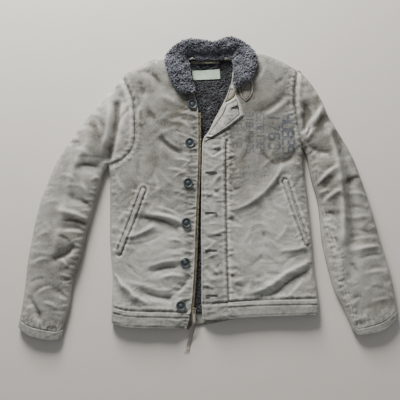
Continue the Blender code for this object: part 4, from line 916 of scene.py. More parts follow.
def inner_side(outer: Array, thickness: float, level: dict[str, Array]) -> Array:
    """Inner points of a shell: the outer moved along smoothed normals.

    Args:
        outer: grid; thickness: along the normal, minus for downwards;
        level: for the edges u0, u1, v0, v1, which border points have their wall level.
    """
    normals = blurred(grid_normals(outer), 4)
    places = {"u0": np.s_[0, :], "u1": np.s_[-1, :], "v0": np.s_[:, 0], "v1": np.s_[:, -1]}
    for side, rows in level.items():
        n = normals[places[side]]
        run = unit(np.gradient(outer[places[side]][:, :2], axis=0))
        out = with_height(square_to(run), np.zeros(len(run)))
        out *= np.sign(((n * out).sum(axis=1))[:, None] + 1e-12)
        n[rows] = out[rows]
        normals[places[side]] = n
    return outer + thickness * unit(normals)


def cloth_map(grid: Array) -> Array:
    """Flat place of every point: distance across its row and along the middle line.

    Args:
        grid: one side of the piece.
    Returns:
        Places on the flat cloth in metres.
    """
    across = np.linalg.norm(np.diff(grid, axis=0), axis=-1)
    u = np.concatenate([np.zeros((1, grid.shape[1])), np.cumsum(across, axis=0)])
    u -= u[grid.shape[0] // 2]
    middle = grid[grid.shape[0] // 2]
    v = np.concatenate([[0], np.cumsum(np.linalg.norm(np.diff(middle, axis=0), axis=-1))])
    return np.stack([u, np.broadcast_to(v, u.shape)], axis=-1) * MM


def wear_and_shade_from_relief(detail: Array, rounds: int = 14, gain: float = 0.40) -> Array:
    """Rubbing and painted shade of each point, 0 to 1, from its height over its surroundings at two widths:
    ridges paler from rubbing, troughs darker as painted shade.

    Args:
        detail: small heights; rounds: how far they are averaged; gain: how strong the result is.
    Returns:
        Rubbing and painted shade from 0 to 1.
    """
    near = detail - blurred(detail, rounds // 3)
    wide = detail - blurred(detail, rounds * 3)
    return np.clip(0.5 + gain * (1.3 * near + 0.55 * wide), 0, 1)


# Shaders

class Graph:
    """Node tree of one material."""

    def __init__(self, name: str) -> None:
        """Start an empty node material."""
        self.material = bpy.data.materials.new(name)
        self.material.use_nodes = True
        self.tree = self.material.node_tree
        self.tree.nodes.clear()

    def node(self, kind: str, settings: dict | None = None, sockets: dict | None = None,
             out: int | str = 0) -> "Value":
        """Add a node.

        Args:
            kind: its type; settings: its own options, set first; sockets: numbers, colours or
            links by socket name or number; out: the output that is wanted.
        Returns:
            The output, ready for sums.
        """
        made = self.tree.nodes.new(kind)
        for key, value in (settings or {}).items():
            setattr(made, key, value)
        for key, value in (sockets or {}).items():
            if isinstance(value, Value):
                self.tree.links.new(value.socket, made.inputs[key])
            else:
                made.inputs[key].default_value = value
        return Value(self, made.outputs[out])

    def mix(self, share: "Value | float", first: "Value | tuple", last: "Value | tuple") -> "Value":
        """Colour between two colours, by a share from 0 to 1."""
        return self.node("ShaderNodeMix", {"data_type": "RGBA", "clamp_factor": True},
                         {0: share, 6: first, 7: last}, 2)

    def number(self, name: str) -> "Value":
        """The piece's own number of that name at each point."""
        return self.node("ShaderNodeAttribute", {"attribute_name": name}, out="Fac")

    def noise(self, place: "Value", scale: float, detail: float = 3.0, rough: float = 0.55) -> "Value":
        """Soft noise from 0 to 1 at a place."""
        return self.node("ShaderNodeTexNoise", sockets={
            "Vector": place, "Scale": scale, "Detail": detail, "Roughness": rough})

    def object_place(self) -> "Value":
        """Place in the piece's own frame, in metres."""
        return self.node("ShaderNodeTexCoord", out="Object")

    def map_place(self) -> "Value":
        """Flat place on the piece's own map, in metres."""
        return self.node("ShaderNodeUVMap", {"uv_map": "cloth"})

    def surface(self, colour: "Value | tuple", rough: "Value | float", height: "Value | None" = None,
                depth: float = 0.0002, metallic: float = 0.0, sheen: float = 0.0,
                specular: float = 0.35) -> bpy.types.Material:
        """Finish the material with one surface shader and its bump.

        Args:
            colour: base colour; rough: roughness; height: bump height from 0 to 1; depth: metres
            of the bump; metallic, sheen, specular: numbers for the whole surface.
        """
        sockets = {"Base Color": colour, "Roughness": rough, "Metallic": metallic,
                   "Specular IOR Level": specular, "Sheen Weight": sheen}
        if height is not None:
            sockets["Normal"] = self.node("ShaderNodeBump", sockets={
                "Strength": 1.0, "Distance": depth, "Height": height})
        shader = self.node("ShaderNodeBsdfPrincipled", sockets=sockets)
        out = self.tree.nodes.new("ShaderNodeOutputMaterial")
        self.tree.links.new(shader.socket, out.inputs["Surface"])
        return self.material


class Value:
    """One output of a node, which takes part in sums."""

    def __init__(self, graph: Graph, socket: bpy.types.NodeSocket) -> None:
        """Wrap a socket."""
        self.graph, self.socket = graph, socket

    def math(self, operation: str, first: "Value | float", last: "Value | float" = 0.0) -> "Value":
        """One step of arithmetic."""
        return self.graph.node("ShaderNodeMath", {"operation": operation}, {0: first, 1: last})

    def __add__(self, other: "Value | float") -> "Value":
        """Sum."""
        return self.math("ADD", self, other)

    def __radd__(self, other: float) -> "Value":
        """Sum, number first."""
        return self.math("ADD", other, self)

    def __sub__(self, other: "Value | float") -> "Value":
        """Difference."""
        return self.math("SUBTRACT", self, other)

    def __rsub__(self, other: float) -> "Value":
        """Difference, number first."""
        return self.math("SUBTRACT", other, self)

    def __mul__(self, other: "Value | float") -> "Value":
        """Product."""
        return self.math("MULTIPLY", self, other)

    def __rmul__(self, other: float) -> "Value":
        """Product, number first."""
        return self.math("MULTIPLY", other, self)

    def wave(self, pitch: float) -> "Value":
        """Smooth wave from 0 to 1 with the given pitch."""
        return self.math("SINE", self * (2 * math.pi / pitch)) * 0.5 + 0.5

    def part(self, axis: int) -> "Value":
        """One part of a vector."""
        return self.graph.node("ShaderNodeSeparateXYZ", sockets={0: self}, out=axis)

    def stops(self, *rows: tuple[float, float]) -> "Value":
        """The value bent by a ramp of (place, result) rows."""
        made = self.graph.node("ShaderNodeValToRGB", sockets={0: self}).socket.node
        ramp = made.color_ramp
        while len(ramp.elements) < len(rows):
            ramp.elements.new(0.5)
        for element, (place, result) in zip(ramp.elements, rows):
            element.position, element.color = place, (result, result, result, 1)
        return Value(self.graph, made.outputs[0])


Colour = tuple[float, float, float, float]


def srgb(red: int, green: int, blue: int) -> Colour:
    """A screen colour as the shader's linear one: ((c + 0.055) / 1.055) to the power of 2.4."""
    parts = np.array([red, green, blue]) / 255.0
    linear = np.where(parts <= 0.04045, parts / 12.92, ((parts + 0.055) / 1.055) ** 2.4)
    return (*(float(c) for c in linear), 1.0)


@dataclass(frozen=True)
class WovenCloth:
    """Ribbed cotton, pale and chalky on its rubbed ridges and darker in its troughs as painted shade."""

    name: str
    light: Colour
    dark: Colour
    rib: float = 0.0013
    rough: float = 0.9
    patches: float = 0.22
    inked: bool = False

    def build(self) -> bpy.types.Material:
        """Colour from rubbing and painted shade, faded patches, threads and stains; bump from ribs and
        threads.
        """
        g = Graph(self.name)
        flat, place = g.map_place(), g.object_place()
        wear_and_shade = g.number("wear_and_shade")
        fade = g.noise(place, 9.0, 4.0, 0.6).stops((0.3, 0.0), (0.7, 1.0))
        grime = g.noise(place, 34.0, 5.0, 0.65).stops((0.35, 0.0), (0.66, 1.0))
        share = wear_and_shade + (fade - 0.5) * self.patches + (grime - 0.5) * (self.patches * 0.9)
        share = share + (g.noise(place, 330.0, 4.0, 0.65) - 0.5) * 0.75
        # The per-point number makes the cloth paler where rubbed and darker where painted shade lies in
        # troughs and folds.
        colour = g.mix(share, self.dark, self.light)
        soil = g.noise(place, 14.0, 6.0, 0.7).stops((0.5, 0.0), (0.72, 0.2))
        colour = g.mix(soil, colour, srgb(112, 98, 82))
        threads = g.node("ShaderNodeTexNoise", sockets={
            "Vector": g.node("ShaderNodeMapping", sockets={"Vector": flat, "Scale": (260, 1500, 1)}),
            "Scale": 1.0, "Detail": 2.0})
        colour = g.mix(threads.stops((0.3, 0.0), (0.7, 0.30)), colour, srgb(84, 83, 78))
        ribs = flat.part(1).wave(self.rib)
        if self.inked:
            worn_ink = g.noise(place, 260.0, 4.0, 0.7).stops((0.36, 0.55), (0.58, 1.0))
            colour = g.mix(g.number("ink") * worn_ink * 0.92, colour, srgb(52, 60, 78))
            colour = g.mix(g.number("stain") * 0.75, colour, srgb(58, 50, 42))
        height = ribs * 0.5 + threads * 0.5 + g.noise(place, 900.0, 2.0) * 0.3
        return g.surface(colour, self.rough, height, 0.0004, sheen=0.12, specular=0.2)


@dataclass(frozen=True)
class CurledPile:
    """Curly wool pile, dark between its curls: partly its own colour, partly painted shade."""

    name: str
    light: Colour
    dark: Colour

    def build(self) -> bpy.types.Material:
        """Colour from each curl's own number and a fine noise."""
        g = Graph(self.name)
        place = g.object_place()
        grain = g.noise(place, 700.0, 3.0, 0.6)
        share = g.number("wear_and_shade") + (grain - 0.5) * 0.5 + (g.noise(place, 60.0) - 0.5) * 0.5
        colour = g.mix(share, self.dark, self.light)
        return g.surface(colour, 0.95, grain, 0.0004, sheen=0.25, specular=0.15)


@dataclass(frozen=True)
class WornMetal:
    """Metal with dull patches and rubbed places."""

    name: str
    bright: Colour
    dull: Colour
    rough: float = 0.42
    metallic: float = 0.85

    def build(self) -> bpy.types.Material:
        """Colour and roughness from two noises in the piece's frame."""
        g = Graph(self.name)
        place = g.object_place()
        patch = g.noise(place, 420.0, 5.0, 0.65).stops((0.35, 0.0), (0.65, 1.0))
        fine = g.noise(place, 2400.0, 2.0)
        colour = g.mix(patch * 0.7 + fine * 0.3, self.bright, self.dull)
        return g.surface(colour, patch * 0.25 + self.rough, fine, 0.00008, self.metallic, specular=0.5)


@dataclass(frozen=True)
class TurnedPlastic:
    """Dark button plastic with scuffs, paler on its rim's top as a painted highlight and darker in its dish
    as painted shade.
    """

    name: str = "button_navy"

    def build(self) -> bpy.types.Material:
        """Colour from the profile's painted highlight and shade, cloudy noise and scratches."""
        g = Graph(self.name)
        place = g.object_place()
        cloud = g.noise(place, 300.0, 4.0, 0.6)
        scuff = g.noise(place, 1800.0, 3.0, 0.7).stops((0.45, 0.0), (0.7, 1.0))
        share = g.number("wear_and_shade") + (cloud - 0.5) * 0.5 + scuff * 0.25
        colour = g.mix(share, srgb(20, 25, 29), srgb(84, 92, 94))
        return g.surface(colour, scuff * 0.2 + 0.38, scuff, 0.00006, specular=0.5)


@dataclass(frozen=True)
class Hide:
    """Flat cut hide strip, dry and creased."""

    name: str = "thong_hide"

    def build(self) -> bpy.types.Material:
        """Grey hide with cracks along the strip and a frayed pale end."""
        g = Graph(self.name)
        flat = g.map_place()
        cracks = g.node("ShaderNodeTexNoise", sockets={
            "Vector": g.node("ShaderNodeMapping", sockets={"Vector": flat, "Scale": (900, 240, 1)}),
            "Scale": 1.0, "Detail": 4.0})
        colour = g.mix(cracks, srgb(104, 100, 94), srgb(150, 145, 138))
        colour = g.mix(g.number("wear_and_shade"), colour, srgb(206, 190, 182))
        return g.surface(colour, 0.85, cracks, 0.0003)


SHELL = WovenCloth("shell_rubbed_and_shaded", srgb(204, 203, 194), srgb(84, 82, 75), inked=True)
SLEEVES = WovenCloth("sleeve_rubbed_and_shaded", srgb(204, 202, 193), srgb(88, 85, 78))
PLACKET = WovenCloth("placket_rubbed_and_shaded", srgb(204, 203, 195), srgb(82, 80, 74))
FACING = WovenCloth("facing_rubbed_and_shaded", srgb(188, 186, 176), srgb(88, 86, 78))
BANDS = WovenCloth("band_rubbed_and_shaded", srgb(200, 200, 192), srgb(90, 88, 81))
LATCH_CLOTH = WovenCloth("latch_rubbed_and_shaded", srgb(178, 170, 160), srgb(94, 87, 81), rib=0.0016)
TAPE = WovenCloth("tape_rubbed_and_shaded", srgb(132, 122, 102), srgb(70, 64, 52), rib=0.0009)
LABEL_CLOTH = WovenCloth("label_worn", srgb(226, 244, 224), srgb(190, 212, 188), rib=0.0006, patches=0.4)
LOOP_CLOTH = WovenCloth("loop_worn", srgb(176, 170, 152), srgb(100, 94, 82))
STITCHES = WovenCloth("stitch_thread", srgb(176, 174, 164), srgb(110, 106, 97))
# Dark thread round the buttonholes, darkened as painted shade of the slots.
SLOT_SHADE_STITCHES = WovenCloth("stitch_thread_slot_shade", srgb(78, 78, 78), srgb(40, 40, 42))
# The piles' near-black dark colours are partly painted shade between the curls.
COLLAR_WOOL = CurledPile("collar_wool", srgb(136, 138, 148), srgb(8, 8, 10))
LINING_WOOL = CurledPile("lining_wool", srgb(100, 100, 105), srgb(10, 10, 12))
BRASS = WornMetal("zip_brass_worn", srgb(158, 148, 122), srgb(84, 78, 64))
TAB_STEEL = WornMetal("tab_worn", srgb(214, 208, 196), srgb(150, 142, 128), 0.4, 0.7)


# Panels

FRONT_COLUMNS = np.array(
    [0, 0.02, 0.055, 0.11, 0.18, 0.26, 0.34, 0.42, 0.50, 0.58, 0.65, 0.715, 0.78, 0.87, 0.955, 1])
BACK_COLUMNS = np.array([0, 0.012, 0.035, 0.15, 0.35, 0.5, 0.65, 0.85, 0.965, 0.988, 1])
ARM_UPPER = np.array([0, 0.04, 0.10, 0.19, 0.31, 0.43, 0.55, 0.64, 0.69, 0.72])
ARM_LOWER = np.array([0.72, 0.765, 0.81, 0.855, 0.90, 0.945, 0.975, 1])
UNDERARM_SHARE = 0.34
BUILT: dict[str, bpy.types.Material] = {}


def dressed(finish: WovenCloth | CurledPile | WornMetal | TurnedPlastic | Hide) -> bpy.types.Material:
    """The finish's material, built once."""
    if finish.name not in BUILT:
        BUILT[finish.name] = finish.build()
    return BUILT[finish.name]


def spread_out(shares: Array, count: int) -> Array:
    """More stations with the same crowding as the given ones."""
    return np.interp(np.linspace(0, len(shares) - 1, count), np.arange(len(shares)), shares)


def make_shell(name: str, outer: Array, inner: Array, wear_and_shade: Array, finish: WovenCloth | CurledPile,
               slot: str, replaces: Sequence[str] = (), holes: Array | None = None,
               extra: dict[str, Array] | None = None, body: str = JACKET, inside: float = 0.42) -> Piece:
    """A closed cloth shell with its rubbing and painted shade, map and finish.

    Args:
        name: the object's name; outer, inner: its two grids; wear_and_shade: the outer one's rubbing and
            painted shade;
            finish, slot, replaces, body: as Piece and Piece.finish take them; holes: cells left open;
        extra: more numbers by name; inside: how worn the inner side is.
    Returns:
        The finished piece.
    """
    points, faces = closed_shell(outer, inner, holes)
    ring = border(*outer.shape[:2])
    flat = cloth_map(outer).reshape(-1, 2)
    outer_wear_and_shade = wear_and_shade.ravel()
    piece = Piece(name, points, faces, body)
    piece.unwrap(np.concatenate([flat, flat, flat[ring]]))
    piece.attribute("wear_and_shade", np.concatenate(
        [outer_wear_and_shade, np.full(len(outer_wear_and_shade), inside), np.clip(outer_wear_and_shade[ring] + 0.25, 0, 1)]))
    for key, values in (extra or {}).items():
        flat_values = values.ravel()
        piece.attribute(key, np.concatenate([flat_values, 0 * flat_values, flat_values[ring]]))
    return piece.finish(dressed(finish), slot, replaces)


def side_and_armhole(lines: SideLines, side_rows: int, arm_rows: int) -> Array:
    """Points up the side seam and on up the armhole to the shoulder."""
    hole = smooth_curve(lines.armhole, spread_out(np.concatenate([ARM_UPPER, ARM_LOWER[1:]]), arm_rows))
    side = smooth_curve(lines.side, side_rows)[::-1]
    return np.concatenate([side, hole[::-1][1:]])


@dataclass
class Stencil:
    """Faded generic figures in columns turned on their side, with gaps as a stencil leaves."""

    columns: Sequence[tuple[float, float, float, float, str]] = (
        (199.0, 206.0, 27.0, 20.0, "40825"), (166.0, 204.0, 25.0, 23.0, "1763"),
        (137.0, 208.0, 16.5, 12.8, "52081364"), (111.0, 210.0, 16.5, 12.8, "31840275"),
        (80.0, 182.0, 19.0, 15.5, "6412"),
    )
    stroke: float = 2.7

    def figure(self, sign: str) -> Array:
        """Strokes of one figure in a box 0.6 wide and 1 high: rows of x0, y0, x1, y1."""
        bars = {"a": (0.1, 1, 0.5, 1), "b": (0.58, 0.93, 0.58, 0.57), "c": (0.58, 0.43, 0.58, 0.07),
                "d": (0.1, 0, 0.5, 0), "e": (0.02, 0.43, 0.02, 0.07), "f": (0.02, 0.93, 0.02, 0.57),
                "g": (0.1, 0.5, 0.5, 0.5), "h": (0.3, 1, 0.3, 0.04), "s": (0.56, 0.9, 0.2, 0.0)}
        lit = {"0": "abcdef", "1": "h", "2": "abged", "3": "abgcd", "4": "fgbc", "5": "afgcd",
               "6": "afgecd", "7": "as", "8": "abcdefg"}
        return np.array([bars[k] for k in lit[sign]])

    def ink(self, x: Array, y: Array) -> Array:
        """Share of ink at each point: 1 on a stroke, fading over its border and in patches.

        A column's base line runs down the chest at its own x, with the figures' heads toward +X.

        Args:
            x, y: plan points.
        Returns:
            How much ink there is, from 0 to 1.
        """
        out = np.zeros(np.shape(x))
        near = (x > 66) & (x < 246) & (y > 90) & (y < 222)
        px, py = x[near], y[near]
        total = np.zeros(len(px))
        for base, start, size, advance, text in self.columns:
            for k, sign in enumerate(text):
                for x0, y0, x1, y1 in self.figure(sign):
                    ends = np.array([(base + size * y0, start - advance * k - size * x0),
                                     (base + size * y1, start - advance * k - size * x1)])
                    small = size < 24
                    half = self.stroke * (0.66 if small else 0.94)
                    total = np.maximum(total, np.exp(-((distance_to(ends, px, py) / half) ** 4))
                                       * (0.8 if small else 1.0))
        fade = 0.88 + 0.3 * soft_noise(px, py, 16, 77)
        out[near] = total * np.clip(fade, 0.4, 1)
        return out


@dataclass
class FrontPanel:
    """One front panel, from the side seam and armhole to the front edge."""

    name: str
    lines: SideLines
    columns: int = 122
    side_rows: int = 160
    arm_rows: int = 92
    grid: Array = field(default_factory=lambda: np.zeros(0))
    wear_and_shade: Array = field(default_factory=lambda: np.zeros(0))
    shares: Array = field(default_factory=lambda: np.zeros(0))

    def shape(self) -> None:
        """Plan from the four edges, height from the laid form, rubbing and painted shade from the folds, and
        a painted light along the length.
        """
        outer = side_and_armhole(self.lines, self.side_rows, self.arm_rows)
        v = length_shares(outer)
        u = self.shares = spread_out(FRONT_COLUMNS, self.columns)
        plan = coons(outer, smooth_curve(self.lines.edge, v), smooth_curve(self.lines.hem, u),
                     smooth_curve(self.lines.shoulder[::-1], u), u, v, 3.0)
        x, y = plan[..., 0], plan[..., 1]
        z, self.wear_and_shade = FORM.finished(x, y, Layer.BODY)
        self.grid = with_height(plan, z)
        # Painted light: darker toward the collar and lighter toward the hem; soft random tone on top.
        self.wear_and_shade = self.wear_and_shade + 0.42 * (ease((190 - y) / 330) - 0.6) + 0.14 * soft_noise(x, y, 95, 3)
        self.wear_and_shade[-3:] = np.clip(self.wear_and_shade[-3:] + 0.25, 0, 1)
        self.wear_and_shade[:, :2] = np.clip(self.wear_and_shade[:, :2] + 0.2, 0, 1)

    def build(self) -> Piece:
        """Add the turned border at the outline and the inside, and make the piece."""
        grid, wear_and_shade = self.grid, self.wear_and_shade
        rows = np.arange(grid.shape[1])
        seam = rows >= self.side_rows
        skirt = grid[:1].copy()
        skirt[0, :, 2] = np.where(seam, skirt[0, :, 2] - 1.5, SEAM_HEIGHT)
        grid, wear_and_shade = np.concatenate([skirt, grid]), np.concatenate([wear_and_shade[:1], wear_and_shade])
        top = grid[:, -1:].copy()
        top[..., 2] = SEAM_HEIGHT
        grid, wear_and_shade = np.concatenate([grid, top], axis=1), np.concatenate([wear_and_shade, wear_and_shade[:, -1:]], axis=1)
        inner = inner_side(grid, -CLOTH, {"v1": np.ones(grid.shape[0], bool),
                                          "u0": np.append(~seam, True)})
        x, y = grid[..., 0], grid[..., 1]
        extra = {"ink": np.zeros(x.shape), "stain": np.zeros(x.shape)}
        if self.lines is LEFT:
            extra["ink"] = Stencil().ink(x, y)
            extra["stain"] = bell(np.hypot(x - 150, (y + 82) * 0.8), 5.0)
        piece = make_shell(self.name, grid, inner, wear_and_shade, SHELL, "shell_cloth", [self.name], extra=extra)
        return piece

    def place(self, share: float) -> float:
        """Column number at a share across the panel."""
        return float(np.interp(share, self.shares, np.arange(len(self.shares))))


@dataclass
class SleeveHalf:
    """Upper or under half of a sleeve, from the armhole to the cuff seam."""

    name: str
    lines: SideLines
    on_ground: bool
    across: int = 80
    arm_rows: int = 38
    rows: int = 146

    def shape(self) -> tuple[Array, Array]:
        """Plan points, and which rows of the inner border are the armhole seam."""
        lines = self.lines
        shares = np.concatenate([spread_out(ARM_UPPER, self.across),
                                 spread_out(ARM_LOWER, self.arm_rows + 1)[1:]])
        hole = smooth_curve(lines.armhole, shares)
        away = unit(square_to(np.gradient(hole, axis=0)))
        toward = np.mean(np.array(lines.cuff_end, float), axis=0) - hole.mean(axis=0)
        hole = hole + SEAM_GAP * away * np.sign((away * toward).sum(axis=1).mean())
        below = smooth_curve(lines.sleeve_inner, np.linspace(0, 1, self.rows)[1:])
        right = np.concatenate([hole[self.across - 1:], below])
        v = np.concatenate([np.linspace(0, UNDERARM_SHARE, self.arm_rows + 1),
                            np.linspace(UNDERARM_SHARE, 1, self.rows)[1:]])
        left = smooth_curve(lines.sleeve_outer, v)
        left[0] = hole[0]
        u = spread_out(ARM_UPPER, self.across) / ARM_UPPER[-1]
        cuff = cuff_line(lines, self.across, 0.0)
        left[-1], right[-1] = cuff[0], cuff[-1]
        plan = coons(left, right, hole[:self.across], cuff, u, v)
        return plan, np.arange(len(right)) < self.arm_rows

    def build(self) -> Piece:
        """Height, border, inside, and rubbing with painted shade and a painted light along its length, of
        the half, and its piece.
        """
        plan, seam = self.shape()
        x, y = plan[..., 0], plan[..., 1]
        edge = SEAM_HEIGHT
        if self.on_ground:
            z = FORM.bottom(x, y)
            dent = 0.5 + 0.5 * soft_noise(x, y, 34, 15) + 0.5 * crumple(x, y, 24, 18)
            dent = np.clip(dent, 0, 1.4) * ease(FORM.inward(x, y) / 16.0)
            wear_and_shade = wear_and_shade_from_relief(-2.0 * dent)
            z, edge = z + dent, SEAM_HEIGHT - SEAM_GAP
        else:
            z, wear_and_shade = FORM.finished(x, y, Layer.SLEEVE)
            # Painted light along the sleeve: the right one paler toward the shoulder, the left one paler
            # toward the cuff; soft random tone on top.
            lean = 0.12 if self.lines is RIGHT else -0.30
            wear_and_shade = wear_and_shade + lean * (ease((y + 170) / 260) - 0.5) + 0.12 * soft_noise(x, y, 80, 4)
        cut = grid = with_height(plan, z)
        first, last = grid[:1].copy(), grid[-1:].copy()
        first[..., 2] = edge
        last[0, :, 2] = np.where(seam, last[0, :, 2] + (1.5 if self.on_ground else -1.5), edge)
        grid = np.concatenate([first, grid, last])
        wear_and_shade = np.concatenate([wear_and_shade[:1], wear_and_shade, wear_and_shade[-1:]])
        level = {"u0": np.ones(grid.shape[1], bool), "u1": ~seam}
        inner = inner_side(grid, CLOTH if self.on_ground else -CLOTH, level)
        piece = make_shell(self.name, grid, inner, wear_and_shade, SLEEVES, "sleeve_cloth", [self.name])
        return piece


def cuff_line(lines: SideLines, count: int, share: float) -> Array:
    """Line across the sleeve end: share 0 at the cuff seam, 1 at the cuff end.

    Args:
        lines: the sleeve; count: points; share: where on it.
    Returns:
        Plan points across the sleeve.
    """
    shares = spread_out(ARM_UPPER, count) / ARM_UPPER[-1]
    end = smooth_curve(lines.cuff_end, shares)
    t = shares[:, None]
    bow = end - (end[0] * (1 - t) + end[-1] * t)
    seam = (np.array(lines.sleeve_outer[-1], float) * (1 - t)
            + np.array(lines.sleeve_inner[-1], float) * t + 0.8 * bow)
    return seam * (1 - share) + end * share


@dataclass
class CuffBand:
    """Flat open ring at the end of a sleeve, a doubled strip with a row of stitches."""

    name: str
    lines: SideLines
    around: int = 72
    along: int = 14

    def build(self) -> Piece:
        """Loops over the top and back along the ground, walled inward by the cloth."""
        loops, insides = [], []
        length = float(np.linalg.norm(np.subtract(self.lines.cuff_end[0], self.lines.sleeve_outer[-1])))
        shares = np.linspace(SEAM_GAP / length, 1.0, self.along)
        for share in shares:
            line = cuff_line(self.lines, self.around, float(share))
            x, y = line[:, 0], line[:, 1]
            swell = 0.9 * math.sin(math.pi * share) ** 0.5
            top = with_height(line, FORM.top(x, y, Layer.SLEEVE) + swell * ease(FORM.inward(x, y) / 9.0))
            low = with_height(line, FORM.bottom(x, y))
            tangent = unit(np.gradient(line, axis=0))
            loop = np.concatenate([top, low[::-1]])
            tangent = np.concatenate([tangent, tangent[::-1]])
            along = np.roll(loop, -1, axis=0) - np.roll(loop, 1, axis=0)
            flat = (along[:, :2] * tangent).sum(axis=1)
            size = np.maximum(np.hypot(flat, along[:, 2]), 1e-9)
            inward = np.concatenate(
                [tangent * (along[:, 2] / size)[:, None], (-flat / size)[:, None]], axis=1)
            loops.append(loop)
            insides.append(loop + CLOTH * inward)
        outer, inner = np.array(loops), np.array(insides)
        ns, nk = outer.shape[:2]
        points = np.concatenate([outer, inner[::-1]]).reshape(-1, 3)
        piece = Piece(self.name, points, outward(points, ring_quads(2 * ns, nk, closed=True)))
        wear_and_shade = np.clip(0.46 + 0.16 * crumple(outer[..., 0], outer[..., 1], 12, 33)
                       + 0.35 * (np.abs(shares - 0.5) * 2)[:, None] ** 6, 0, 1)
        piece.attribute("wear_and_shade", np.concatenate([wear_and_shade.ravel(), np.full(ns * nk, 0.4)]))
        round_it = np.linspace(0, 0.24, nk)[None] + np.zeros((ns, 1))
        flat_map = np.stack([round_it, np.broadcast_to(shares[:, None] * 0.02, round_it.shape)], axis=-1)
        piece.unwrap(np.concatenate([flat_map, flat_map[::-1]]))
        piece.finish(dressed(BANDS), "band_cloth", [self.name])
        return piece


@dataclass
class Back:
    """The back panel on the ground, its lining pile and the turned-up hem inside."""

    columns: int = 70
    side_rows: int = 80
    arm_rows: int = 50

    def build_panel(self) -> Piece:
        """The outside cloth, flat where it rests, shallow dents toward the inside."""
        left = side_and_armhole(RIGHT, self.side_rows, self.arm_rows)
        right = side_and_armhole(LEFT, self.side_rows, self.arm_rows)
        v = (length_shares(left) + length_shares(right)) / 2
        u = spread_out(BACK_COLUMNS, self.columns)
        top = [*RIGHT.shoulder[::-1][:-1], *BACK_NECK, *LEFT.shoulder[1:]]
        plan = coons(left, right, smooth_curve(BACK_HEM, u), smooth_curve(top, u), u, v, 4.0)
        x, y = plan[..., 0], plan[..., 1]
        seam = np.arange(len(left)) >= self.side_rows
        z = FORM.bottom(x, y)
        dent = 0.5 + 0.5 * soft_noise(x, y, 46, 25) + 0.6 * crumple(x, y, 30, 28)
        dent = np.clip(dent, 0, 1.3) * ease(FORM.inward(x, y) / 16.0)
        grid = with_height(plan, z + dent)
        edge = SEAM_HEIGHT - SEAM_GAP
        shoulder = (plan[:, -1, 0] < -60) | (plan[:, -1, 0] > 106)
        grid[shoulder, -1, 2] = edge
        grid[0, ~seam, 2] = edge
        grid[-1, ~seam, 2] = edge
        level = {"v1": shoulder, "u0": ~seam, "u1": ~seam}
        inner = inner_side(grid, CLOTH, level)
        inner[1:-1, :-1, 2] = np.maximum(inner[1:-1, :-1, 2] - dent[1:-1, :-1], grid[1:-1, :-1, 2] + 0.9)
        piece = make_shell("back_panel", grid, inner, wear_and_shade_from_relief(-2.2 * dent), SHELL, "shell_cloth",
                           ["back_panel"])
        return piece

    def borders(self, y: Array) -> tuple[Array, Array]:
        """X of the lining's two borders at each y."""
        out = []
        for lines, way in ((RIGHT, 1), (LEFT, -1)):
            table = np.array([*lines.side[::-1], *lines.armhole[::-1][1:], *lines.shoulder[::-1][1:]], float)
            near, far = (np.interp(s, table[:, 1], table[:, 0]) for s in (y, y + 18))
            pick = np.maximum if way > 0 else np.minimum
            out.append(pick(near + 16 * way, far + 6 * way))
        return out[0], out[1]

    def build_lining(self) -> Piece:
        """Pile lining inside the back, with curls where the neck and the front gap show it."""
        y = np.linspace(-268, 348, 120)
        x0, x1 = self.borders(y)
        u = np.linspace(0, 1, 60)[:, None]
        x = x0[None] * (1 - u) + x1[None] * u
        yy = np.broadcast_to(y, x.shape)
        base = CLOTH + SEAM_GAP
        low = np.stack([x, yy, np.full(x.shape, base)], axis=-1)
        top = raised(low, 3.2 + 0.6 * soft_noise(x, yy, 9, 41) + 0.5 * soft_noise(x, yy, 4.5, 42))
        wear_and_shade = np.clip(0.35 + 0.4 * soft_noise(x, yy, 7, 43), 0, 1)
        curls = self.build_curls(base + 3.0)
        piece = make_shell("back_lining", top, low, wear_and_shade, LINING_WOOL, "pile", ["back_lining"])
        return piece

    def build_curls(self, base: float, count: int = 3600) -> Piece:
        """Curls spread over the part of the lining that shows.

        Args:
            base: height of their roots; count: how many curls.
        Returns:
            The finished piece.
        """
        rng = np.random.default_rng(301)
        right, left = np.array(RIGHT.edge, float), np.array(LEFT.edge, float)
        y = rng.uniform(-266, 350, 6 * count)
        x0 = np.interp(y, right[:, 1], right[:, 0]) - 6
        x1 = np.interp(y, left[:, 1], left[:, 0]) + 8
        x = rng.uniform(-60, 110, len(y))
        keep = (x > x0) & (x < x1)
        keep &= ~((x > -20) & (x < 52) & (y > 293) & (y < 326))
        x, y = x[keep][:count], y[keep][:count]
        centres = np.stack([x, y, np.full(len(x), base)], axis=1)
        up = np.tile([0.0, 0.0, 1.0], (len(x), 1))
        tilt = np.column_stack([rng.normal(0, 0.35, (len(x), 2)), np.zeros(len(x))])
        points, faces, wear_and_shade = curl_mesh(centres, up + tilt, rng, 2.0, 0.75)
        piece = Piece("lining_curls", points, faces)
        piece.attribute("wear_and_shade", wear_and_shade * 0.9)
        return piece.finish(dressed(LINING_WOOL), "pile")

    def build_hem_facing(self) -> Piece:
        """Turned-up hem on the inside of the back."""
        u = np.linspace(0, 1, 90)
        x = -192 + 456 * u
        hem = smooth_curve(BACK_HEM, 80)
        low = np.interp(x, hem[:, 0], hem[:, 1]) + 1.5
        v = np.linspace(0, 1, 8)[None]
        y = low[:, None] * (1 - v) + -269.0 * v
        xx = np.broadcast_to(x[:, None], y.shape)
        z = np.full(y.shape, CLOTH + SEAM_GAP)
        base = np.stack([xx, y, z], axis=-1)
        top = raised(base, 1.2 + 0.5 * soft_noise(xx, y, 8, 51))
        wear_and_shade = np.clip(0.5 + 0.4 * soft_noise(xx, y, 6, 52), 0, 1)
        piece = make_shell("back_hem_facing", top, base, wear_and_shade, FACING, "facing_cloth",
                           ["back_hem_facing"])
        return piece


